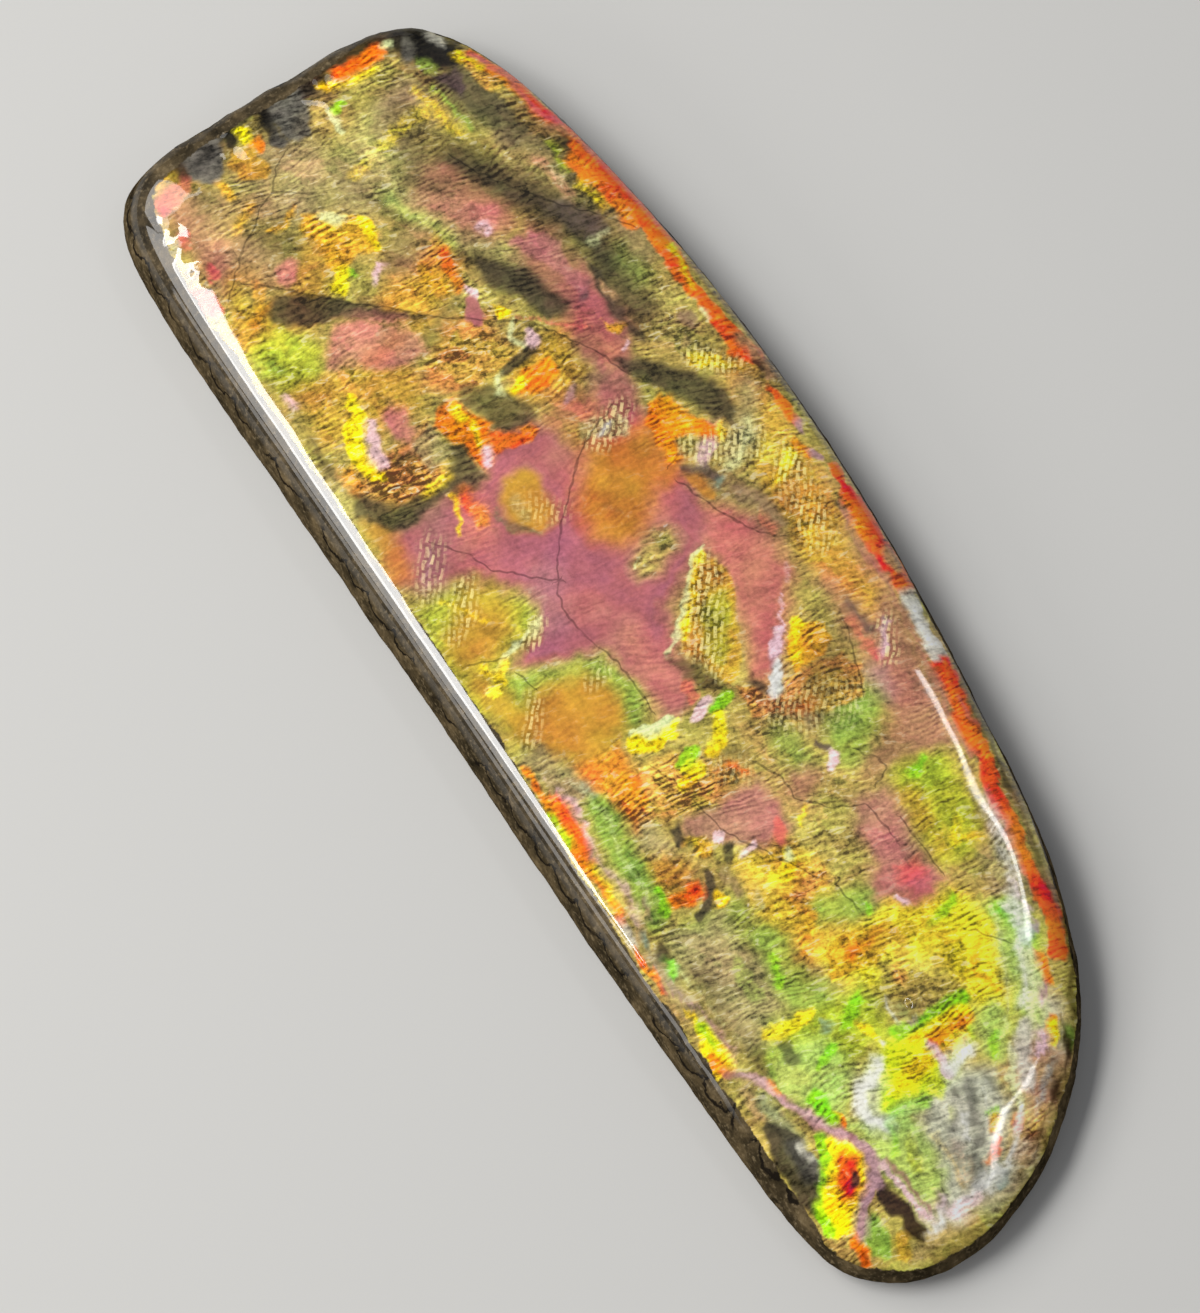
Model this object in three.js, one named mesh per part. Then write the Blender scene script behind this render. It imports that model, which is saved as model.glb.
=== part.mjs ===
// Ammolite specimen: one long, thin, hand-polished freeform stone, an iridescent
// fossil ammonite shell on its own ironstone. It lies flat, polished face up.
// Millimetres, +Z up. The origin is under the middle of the stone, on its flat
// ground back. +X points to the rounded tip and +Y to the bowed long edge.
import * as THREE from "three";

// Plan outline at the widest line of the side. It starts at the middle of the square end
// and runs along the straight edge to the tip, then back along the bowed edge.
const outlinePoints = [
  [-39.9, -1.5],
  [-39.6, -7.0],
  [-39.1, -11.4],
  [-37.9, -13.9],
  [-35.8, -15.0],
  [-31.0, -15.2],
  [-17.0, -14.1],
  [0.0, -12.6],
  [14.0, -11.5],
  [25.0, -10.4],
  [32.5, -9.5],
  [37.0, -8.3],
  [39.4, -5.6],
  [40.0, -1.5],
  [38.5, 3.2],
  [36.0, 6.8],
  [31.0, 11.0],
  [23.0, 13.7],
  [12.0, 14.8],
  [1.0, 15.2],
  [-11.0, 14.6],
  [-23.0, 12.8],
  [-33.0, 10.2],
  [-37.0, 8.3],
  [-39.3, 6.0],
  [-40.0, 2.6],
];

// Section, from the flat back up to the top of the dome
const footInset = 1.1;        // the back is this much smaller than the widest line, all round
const footHeight = 1.3;       // height of the widest line
const flankTop = 3.3;         // where the side starts to round over
const flankDraft = 0.35;      // how far the side leans in up to there
const shoulderHeight = 4.9;   // where the rounding runs out into the face
const shoulderWidth = 1.9;    // plan width of the rounding
const tipDrop = 1.0;          // the shoulder is this much lower round the tip
const tipExtraWidth = 1.6;    // and this much wider
const domeHeight = 5.8;       // top of the face, along the spine
const domeTipDrop = 0.5;      // the spine falls by this towards the tip
const tipStart = 20;          // x where the stone starts to fall towards the tip
const tipEnd = 38;            // x where it has fallen all the way
const spineShare = 0.72;      // length of the spine, the line midway between the edges, to the stone's
const mostSlant = 1.35;       // a section may cross the side aslant and be longer by this much

// Old damage: shallow chips broken out of the rim, worn smooth again
const chips = [
  { x: -36.6, y: 7.6, radius: 3.6, depth: 0.75 },  // corner of the square end
  { x: -38.2, y: -2.6, radius: 2.8, depth: 0.4 },  // flakes lost along the square end
  { x: -38.0, y: -8.4, radius: 2.4, depth: 0.35 },
  { x: 7.4, y: 14.0, radius: 2.6, depth: 0.3 },    // pale patch on the bowed edge
  { x: 29.5, y: -8.9, radius: 4.2, depth: 0.5 },   // long scoop beside the tip
];
const chipFloor = 3.1;        // chips fade out below this height

// Fineness of the mesh
const sectionCount = 148;
const outlineSteps = 3000;
const footSteps = 3;
const flankSteps = 3;
const shoulderSteps = 5;
const domeSteps = 8;

function smooth(start, end, value) {
  return THREE.MathUtils.smoothstep(value, start, end);
}

// Sections start evenly spaced on the outline and run in to the spine. Section i and the one
// that faces it across the stone end at the same point of the spine.
function makeSections() {
  const corners = outlinePoints.map(([x, y]) => new THREE.Vector3(x, y, 0));
  const outline = new THREE.CatmullRomCurve3(corners, true, "centripetal");
  outline.arcLengthDivisions = outlineSteps;
  const sections = [];
  for (let i = 0; i < sectionCount; i += 1) {
    const rim = outline.getPointAt(i / sectionCount);
    const facing = outline.getPointAt((sectionCount - i) / sectionCount);
    const spine = rim.clone().add(facing).multiplyScalar(spineShare / 2);
    const along = outline.getTangentAt(i / sectionCount);
    const inward = new THREE.Vector3(-along.y, along.x, 0);
    const inwards = spine.clone().sub(rim).normalize();
    const slant = Math.min(1 / inwards.dot(inward), mostSlant);
    sections.push({ rim, spine, inwards, slant });
  }
  return sections;
}

// Inset and height of the side and shoulder, from the edge of the back upwards
function sideProfile(reach, crown, tipBlend) {
  const profile = [];
  for (let i = 0; i <= footSteps; i += 1) {
    const angle = (i / footSteps) * (Math.PI / 2);
    profile.push([footInset * (1 - Math.sin(angle)), footHeight * (1 - Math.cos(angle))]);
  }
  const top = flankTop - tipDrop * tipBlend;
  for (let i = 1; i <= flankSteps; i += 1) {
    const share = i / flankSteps;
    profile.push([flankDraft * share ** 2, THREE.MathUtils.lerp(footHeight, top, share)]);
  }

  // The rounding ends where it is as steep as the edge of the dome
  const width = shoulderWidth + tipExtraWidth * tipBlend;
  const rise = shoulderHeight - flankTop;
  const domeSlope = (2 * (crown - top - rise)) / (reach - flankDraft - width);
  const lastAngle = Math.atan2(rise, width * domeSlope);
  for (let i = 1; i <= shoulderSteps; i += 1) {
    const angle = (i / shoulderSteps) * lastAngle;
    profile.push([flankDraft + width * (1 - Math.cos(angle)), top + rise * Math.sin(angle)]);
  }
  return profile;
}

// A chip presses the surface in towards the middle of the stone
function addChips(point, spine) {
  const inwards = spine.clone().sub(point).normalize();
  for (const chip of chips) {
    const distance = Math.hypot(point.x - chip.x, point.y - chip.y) / chip.radius;
    if (distance < 1) {
      const depth = chip.depth * (1 - distance ** 2) ** 2 * smooth(chipFloor, shoulderHeight, point.z);
      point.addScaledVector(inwards, depth);
    }
  }
}

// One section, as points from the edge of the back to the spine
function sectionPoints({ rim, spine, inwards, slant }) {
  const tipBlend = smooth(tipStart, tipEnd, rim.x);
  const crown = domeHeight - domeTipDrop * smooth(tipStart, tipEnd, spine.x / spineShare);
  const reach = rim.distanceTo(spine) / slant;
  const points = [];
  for (const [inset, height] of sideProfile(reach, crown, tipBlend)) {
    const point = rim.clone().addScaledVector(inwards, inset * slant);
    points.push(point.setZ(height));
  }
  const shoulder = points.at(-1);
  for (let i = 1; i <= domeSteps; i += 1) {
    const share = i / domeSteps;
    const point = shoulder.clone().lerp(spine, share);
    points.push(point.setZ(THREE.MathUtils.lerp(shoulder.z, crown, 1 - (1 - share) ** 2)));
  }
  points.forEach((point) => addChips(point, spine));
  return points;
}

function makeStone() {
  const rings = makeSections().map(sectionPoints);
  const ringSize = rings[0].length;
  const positions = rings.flat().flatMap((point) => point.toArray());
  const facing = (i) => (sectionCount - i) % sectionCount;

  // The last point of each section lies on the spine and is shared with the facing section
  const index = (i, j) => {
    const section = i % sectionCount;
    const onSpine = j === ringSize - 1;
    return (onSpine ? Math.min(section, facing(section)) : section) * ringSize + j;
  };

  const triangles = [];
  const addTriangle = (a, b, c) => {
    if (a !== b && b !== c && c !== a) {
      triangles.push(a, b, c);
    }
  };
  for (let i = 0; i < sectionCount; i += 1) {
    for (let j = 0; j < ringSize - 1; j += 1) {
      addTriangle(index(i, j), index(i + 1, j), index(i + 1, j + 1));
      addTriangle(index(i, j), index(i + 1, j + 1), index(i, j + 1));
    }
  }

  // The flat back, zipped together from the two long sides
  for (let i = 0; i < sectionCount / 2; i += 1) {
    addTriangle(index(i, 0), index(facing(i), 0), index(facing(i + 1), 0));
    addTriangle(index(i, 0), index(facing(i + 1), 0), index(i + 1, 0));
  }

  const geometry = new THREE.BufferGeometry();
  geometry.setAttribute("position", new THREE.Float32BufferAttribute(positions, 3));
  geometry.setIndex(triangles);
  geometry.computeVertexNormals();
  return geometry;
}

const polishedAmmolite = new THREE.MeshStandardMaterial({
  color: 0xa8823a,
  roughness: 0.12,
  metalness: 0.0,
});

const stone = new THREE.Mesh(makeStone(), polishedAmmolite);
stone.name = "ammolite_stone";

const specimen = new THREE.Group();
specimen.add(stone);

export default specimen;
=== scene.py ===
import math

import bpy
import numpy as np
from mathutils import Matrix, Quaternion, Vector, kdtree, noise


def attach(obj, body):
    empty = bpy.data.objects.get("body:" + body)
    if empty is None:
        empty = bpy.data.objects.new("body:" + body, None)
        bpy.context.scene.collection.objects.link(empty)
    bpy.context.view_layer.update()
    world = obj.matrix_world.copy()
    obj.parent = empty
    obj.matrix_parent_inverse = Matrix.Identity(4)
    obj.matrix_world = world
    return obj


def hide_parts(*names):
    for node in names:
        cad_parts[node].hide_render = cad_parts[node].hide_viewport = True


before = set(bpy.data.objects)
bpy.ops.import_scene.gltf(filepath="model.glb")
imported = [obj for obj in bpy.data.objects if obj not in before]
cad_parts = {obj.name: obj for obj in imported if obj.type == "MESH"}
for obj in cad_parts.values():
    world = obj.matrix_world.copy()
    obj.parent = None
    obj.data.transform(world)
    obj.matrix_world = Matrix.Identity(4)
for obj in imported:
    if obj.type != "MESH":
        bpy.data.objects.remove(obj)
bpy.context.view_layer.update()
mm = 0.001


def pick(*pieces):
    bpy.ops.object.select_all(action="DESELECT")
    for piece in pieces:
        piece.select_set(True)
    bpy.context.view_layer.objects.active = pieces[0]


def fade(start, end, value):
    share = min(max((value - start) / (end - start), 0.0), 1.0)
    return share * share * (3 - 2 * share)


# Node helpers: a value given to a socket may be a number, a tuple or another node's output
def feed(tree, socket, value):
    if isinstance(value, bpy.types.NodeSocket):
        tree.links.new(value, socket)
    else:
        socket.default_value = value


def addNode(tree, kind, inputs=None, **settings):
    node = tree.nodes.new(kind)
    for name, value in settings.items():
        setattr(node, name, value)
    for name, value in (inputs or {}).items():
        feed(tree, node.inputs[name], value)
    return node


def calc(tree, operation, first, second=0.0):
    inputs = {0: first, 1: second}
    return addNode(tree, "ShaderNodeMath", inputs, operation=operation).outputs[0]


def vector(tree, operation, first, second):
    inputs = {0: first, 1: second}
    return addNode(tree, "ShaderNodeVectorMath", inputs, operation=operation).outputs["Vector"]


def scaled(tree, place, factor):
    inputs = {"Vector": place, "Scale": factor}
    return addNode(tree, "ShaderNodeVectorMath", inputs, operation="SCALE").outputs["Vector"]


def turned(tree, place, angle):
    inputs = {"Vector": place, "Angle": angle}
    return addNode(tree, "ShaderNodeVectorRotate", inputs, rotation_type="Z_AXIS").outputs[0]


def axesOf(tree, place):
    return addNode(tree, "ShaderNodeSeparateXYZ", {0: place}).outputs


def mixFloat(tree, factor, first, second):
    return addNode(tree, "ShaderNodeMix", {0: factor, 2: first, 3: second}).outputs[0]


def mixVector(tree, factor, first, second):
    inputs = {0: factor, 4: first, 5: second}
    return addNode(tree, "ShaderNodeMix", inputs, data_type="VECTOR").outputs[1]


def mixColour(tree, factor, first, second):
    inputs = {0: factor, 6: first, 7: second}
    return addNode(tree, "ShaderNodeMix", inputs, data_type="RGBA").outputs[2]


def softStep(tree, value, low, high, bottom=0.0, top=1.0):
    inputs = {"Value": value, "From Min": low, "From Max": high, "To Min": bottom, "To Max": top}
    node = addNode(tree, "ShaderNodeMapRange", inputs, interpolation_type="SMOOTHSTEP")
    return node.outputs["Result"]


def clouds(tree, place, size, detail=2.0, roughness=0.5, distortion=0.0):
    inputs = {
        "Vector": place, "Scale": 1 / size, "Detail": detail,
        "Roughness": roughness, "Distortion": distortion,
    }
    return addNode(tree, "ShaderNodeTexNoise", inputs).outputs


def centred(tree, value, amount):
    return calc(tree, "MULTIPLY", calc(tree, "SUBTRACT", value, 0.5), amount)


def product(tree, first, *others):
    for other in others:
        first = calc(tree, "MULTIPLY", first, other)
    return first


def total(tree, first, *others):
    for other in others:
        first = calc(tree, "ADD", first, other)
    return first


def attribute(tree, name, output="Vector"):
    return addNode(tree, "ShaderNodeAttribute", attribute_name=name).outputs[output]


def linear(value):
    share = value / 255
    return share / 12.92 if value <= 10 else ((share + 0.055) / 1.055) ** 2.4


def paint(red, green, blue):
    return (linear(red), linear(green), linear(blue), 1.0)


def ramp(tree, value, colours):
    node = addNode(tree, "ShaderNodeValToRGB", {"Fac": value})
    stops = node.color_ramp.elements
    while len(stops) < len(colours):
        stops.new(0.5)
    for stop, (position, colour) in zip(stops, colours):
        stop.position = position
        stop.color = colour
    return node.outputs["Color"]


stoneShape = {
    "mergeDistance": 0.01 * mm,
    "quadAngle": math.radians(50),
    "smoothLevels": 2,
    "rimSteps": 24,            # places along each edge of the widest line
    "widestHeight": 1.3,       # mm, the line of the side that the plan outline follows
    "faceTilt": (0.5, 0.9),    # the face lies where a normal points up this much
    "denseInset": 3.2,         # mm in from the widest line, where the face gets a finer mesh
    "sideFoot": (0.02, 0.35),  # mm, the rough side fades in between these heights
    "sideTop": (2.4, 3.7),     # mm, and out between these
    "rimHeight": (2.6, 3.6),   # mm, the worn rim begins between these heights
    "squareEnd": (-37.5, -34.0),     # mm along x, where the broken rim fades out
    "roundCorner": (-11.0, -9.0),    # mm along y, and where it stops short of the corner
    "straightSide": (-8.0, -5.0),    # mm along y, where the eased shoulder fades out
    "straightSideEnd": (30.0, 36.0),  # mm along x, the same towards the tip
    "easeInset": (3.4, 4.8),   # mm in from the widest line, the same across the face
    "easeFactor": 0.5,         # strength and rounds of that smoothing
    "easeRounds": 110,
    "sideGrain": (0.9, 0.10),  # mm, size and depth of the grain of the side
    "sidePits": (2.6, 0.16),
    "faceWaves": (7.0, 0.05),  # hand polish never leaves the face quite even
    "rimBreaks": (1.5, 0.32),  # flakes lost along the square end
    "bumpTilt": 0.2,           # a bump's middle has a normal that points up at least this much
    "bumps": [                 # x, y, reach, height in mm
        (26.4, 1.6, 0.9, 0.10),
        (-32.5, -12.6, 0.9, 0.10),
        (-30.6, -12.5, 0.8, 0.09),
        (-33.8, -12.8, 0.6, 0.06),
    ],
}


def copyOfNode(nodeName, pieceName):
    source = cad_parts[nodeName]
    piece = bpy.data.objects.new(pieceName, source.data.copy())
    bpy.context.scene.collection.objects.link(piece)
    pick(piece)
    quadAngle = stoneShape["quadAngle"]
    bpy.ops.mesh.customdata_custom_splitnormals_clear()
    bpy.ops.object.mode_set(mode="EDIT")
    bpy.ops.mesh.select_all(action="SELECT")
    bpy.ops.mesh.remove_doubles(threshold=stoneShape["mergeDistance"])
    bpy.ops.mesh.tris_convert_to_quads(face_threshold=quadAngle, shape_threshold=quadAngle)
    bpy.ops.object.mode_set(mode="OBJECT")
    return piece


# The widest line of the side as close points in mm, each with its distance along the line
def rimLine(nodeName):
    height = stoneShape["widestHeight"] * mm
    points = {
        (round(vertex.co.x / mm, 4), round(vertex.co.y / mm, 4))
        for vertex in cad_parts[nodeName].data.vertices
        if abs(vertex.co.z - height) < stoneShape["mergeDistance"]
    }
    corners = sorted(points, key=lambda point: math.atan2(point[1], point[0]))
    line, travelled = [], 0.0
    steps = stoneShape["rimSteps"]
    for here, after in zip(corners, corners[1:] + corners[:1]):
        length = math.dist(here, after)
        for i in range(steps):
            spot = Vector(here).lerp(Vector(after), i / steps)
            line.append((spot.x, spot.y, travelled + length * i / steps))
        travelled += length
    return line, travelled


# Gives a function that finds the nearest of those points to a place, and how far off it is in mm
def rimSearch(line):
    tree = kdtree.KDTree(len(line))
    for i, (x, y, _) in enumerate(line):
        tree.insert((x, y, 0.0), i)
    tree.balance()
    return lambda place: tree.find((place.x / mm, place.y / mm, 0.0))[1:]


def refineFace(piece, search):
    bpy.ops.object.mode_set(mode="EDIT")
    bpy.ops.mesh.select_mode(type="FACE")
    bpy.ops.mesh.select_all(action="DESELECT")
    bpy.ops.object.mode_set(mode="OBJECT")
    upward, inset = stoneShape["faceTilt"][0], stoneShape["denseInset"]
    for face in piece.data.polygons:
        face.select = face.normal.z > upward and search(face.center)[1] > inset
    bpy.ops.object.mode_set(mode="EDIT")
    bpy.ops.mesh.subdivide(number_cuts=1, smoothness=0.0)
    bpy.ops.object.mode_set(mode="OBJECT")


def measureRim(piece, search, line, around):
    mesh = piece.data
    inset = mesh.attributes.new("rimInset", "FLOAT", "POINT")
    places = []
    for vertex in mesh.vertices:
        index, distance = search(vertex.co)
        inset.data[vertex.index].value = distance
        places.append(line[index][2])

    # distance along the rim and height, kept by face corner so that the line's ends meet cleanly
    side = mesh.attributes.new("sideMap", "FLOAT_VECTOR", "CORNER")
    for face in mesh.polygons:
        along = [places[mesh.loops[i].vertex_index] for i in face.loop_indices]
        if max(along) - min(along) > around / 2:
            along = [place + around if place < around / 2 else place for place in along]
        for i, place in zip(face.loop_indices, along):
            height = mesh.vertices[mesh.loops[i].vertex_index].co.z / mm
            side.data[i].vector = (place, height, 0.0)


def weigh(piece, groupName, weightOf):
    group = piece.vertex_groups.new(name=groupName)
    for vertex in piece.data.vertices:
        weight = weightOf(vertex.co / mm, vertex.normal)
        if weight > 0:
            group.add([vertex.index], weight, "REPLACE")


def roughen(piece, groupName, size, depth):
    texture = bpy.data.textures.new(groupName, "CLOUDS")
    texture.noise_scale = size * mm
    bpy.ops.object.modifier_add(type="DISPLACE")
    relief = piece.modifiers[-1]
    relief.texture = texture
    relief.texture_coords = "LOCAL"
    relief.strength = depth * mm
    relief.mid_level = 0.5
    relief.vertex_group = groupName
    bpy.ops.object.modifier_apply(modifier=relief.name)


def raiseBump(piece, x, y, reach, height):
    spot = min(
        (vertex for vertex in piece.data.vertices if vertex.normal.z > stoneShape["bumpTilt"]),
        key=lambda vertex: math.hypot(vertex.co.x / mm - x, vertex.co.y / mm - y),
    ).index
    bpy.ops.object.mode_set(mode="EDIT")
    bpy.ops.mesh.select_all(action="DESELECT")
    bpy.ops.object.mode_set(mode="OBJECT")
    piece.data.vertices[spot].select = True
    bpy.ops.object.mode_set(mode="EDIT")
    bpy.ops.mesh.select_mode(type="VERT")
    bpy.ops.transform.translate(
        value=(0, 0, height * mm), use_proportional_edit=True,
        proportional_edit_falloff="SMOOTH", proportional_size=reach * mm,
    )
    bpy.ops.object.mode_set(mode="OBJECT")


def makeStone():
    shape = stoneShape
    piece = copyOfNode("ammolite_stone", "polished_ammolite_stone")
    bpy.ops.object.modifier_add(type="SUBSURF")
    rounding = piece.modifiers[-1]
    rounding.levels = rounding.render_levels = shape["smoothLevels"]
    bpy.ops.object.modifier_apply(modifier=rounding.name)
    line, around = rimLine("ammolite_stone")
    search = rimSearch(line)
    refineFace(piece, search)
    bpy.ops.object.shade_smooth()
    measureRim(piece, search, line, around)

    def onSide(place, normal):
        return (1 - fade(*shape["sideTop"], place.z)) * fade(*shape["sideFoot"], place.z)

    def onFace(place, normal):
        return fade(*shape["faceTilt"], normal.z)

    def onBrokenRim(place, normal):
        atEnd = (1 - fade(*shape["squareEnd"], place.x)) * fade(*shape["roundCorner"], place.y)
        return atEnd * fade(*shape["rimHeight"], place.z)

    def onStraightShoulder(place, normal):
        inset = search(place * mm)[1]
        onEdge = fade(*shape["rimHeight"], place.z) * (1 - fade(*shape["easeInset"], inset))
        onEdge *= 1 - fade(*shape["straightSide"], place.y)
        return onEdge * (1 - fade(*shape["straightSideEnd"], place.x))

    weigh(piece, "straightShoulder", onStraightShoulder)
    bpy.ops.object.modifier_add(type="SMOOTH")
    ease = piece.modifiers[-1]
    ease.factor, ease.iterations = shape["easeFactor"], shape["easeRounds"]
    ease.vertex_group = "straightShoulder"
    bpy.ops.object.modifier_apply(modifier=ease.name)

    reliefs = {
        "sideGrain": onSide, "sidePits": onSide, "faceWaves": onFace, "rimBreaks": onBrokenRim,
    }
    for groupName, weightOf in reliefs.items():
        weigh(piece, groupName, weightOf)
    for groupName in reliefs:
        roughen(piece, groupName, *shape[groupName])
    for bump in shape["bumps"]:
        raiseBump(piece, *bump)
    piece.vertex_groups.clear()
    return piece


stone = makeStone()
print("stone shaped:", sum(len(face.vertices) - 2 for face in stone.data.polygons), "triangles")


hueColours = [
    (0.00, paint(112, 194, 24)), (0.12, paint(168, 196, 14)), (0.28, paint(236, 200, 12)),
    (0.42, paint(234, 150, 12)), (0.55, paint(238, 104, 16)), (0.66, paint(222, 66, 34)),
    (0.78, paint(206, 84, 106)), (0.88, paint(160, 104, 158)), (0.95, paint(112, 150, 132)),
    (1.00, paint(112, 194, 24)),
]

# Colour play of the shell. Each tone is hue, glow, purity and how lively its grain is.
# Hue 0 is lime, then yellow, gold, orange, red, rose and violet, and 1 is lime again.
tones = {
    "olive": (0.26, 0.84, 0.48, 0.65),
    "oliveLight": (0.205, 0.95, 0.33, 0.6),
    "oliveRipple": (0.28, 0.72, 0.4, 0.9),
    "oliveDark": (0.30, 0.50, 0.45, 0.8),
    "khaki": (0.22, 0.90, 0.22, 0.55),
    # haze and greyHaze are dull milky tones that partly stand for a painted sheen, most of all over
    # the left third
    "haze": (0.30, 0.80, 0.18, 0.45),
    "greyHaze": (0.60, 0.66, 0.15, 0.3),
    "beige": (0.40, 1.05, 0.3, 0.4),
    "lime": (0.04, 1.35, 1.0, 0.5),
    "green": (0.06, 0.96, 0.7, 0.45),
    "yellowGreen": (0.14, 1.08, 0.88, 0.5),
    "yellow": (0.27, 1.42, 1.0, 0.6),
    "limeYellow": (0.13, 1.85, 1, 0.45),
    "paleGreen": (0.05, 1.55, 0.55, 0.4),
    "brightYellow": (0.25, 1.5, 1, 0.55),
    "gold": (0.35, 1.08, 0.9, 0.7),
    "goldPlain": (0.385, 0.88, 0.82, 0.12),
    "ochre": (0.36, 0.84, 0.8, 0.55),
    "brownGold": (0.385, 0.92, 0.7, 0.9),
    "orange": (0.50, 1.2, 1, 0.5),
    "redOrange": (0.565, 1.3, 1.0, 0.45),
    "red": (0.60, 1.18, 1.0, 0.4),
    "salmon": (0.69, 1.25, 0.7, 0.3),
    "warmRose": (0.73, 1.2, 0.5, 0.35),
    "dustyRose": (0.66, 0.98, 0.34, 0.3),
    "warmMauve": (0.78, 1.0, 0.56, 0.3),
    "orangeCore": (0.46, 0.84, 0.82, 0.15),
    "coral": (0.73, 1.14, 0.6, 0.2),
    "rose": (0.75, 0.90, 0.62, 0.2),
    "magenta": (0.79, 0.94, 0.72, 0.12),
    "mauve": (0.80, 0.86, 0.55, 0.15),
    "violet": (0.86, 1.22, 0.5, 0.3),
    "teal": (0.95, 0.95, 0.9, 0.4),
}


def plain(red, green, blue, life):
    return (*paint(red, green, blue)[:3], life)


# Tones without a hue of their own: red, green, blue and how lively the grain is
stoneTones = {
    "dark": plain(66, 58, 44, 0.6),
    "darkPurple": plain(88, 70, 68, 0.4),
    "darkBrown": plain(66, 48, 30, 0.4),
    "black": plain(30, 26, 20, 0.6),
    "grey": plain(104, 100, 90, 0.5),
    # silver and chalk are pale mineral; at the tip they are also painted glare and painted
    # reflection lines of a lamp in the rounded rim
    "silver": plain(214, 214, 188, 0.35),
    "chalk": plain(214, 208, 190, 0.4),
    # white is a few pale spots and painted highlights; pinkWhite and limeWhite are painted glints
    "white": plain(246, 244, 238, 0.1),
    "pinkWhite": plain(250, 206, 212, 0.3),
    "limeWhite": plain(240, 246, 176, 0.3),
}

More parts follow.
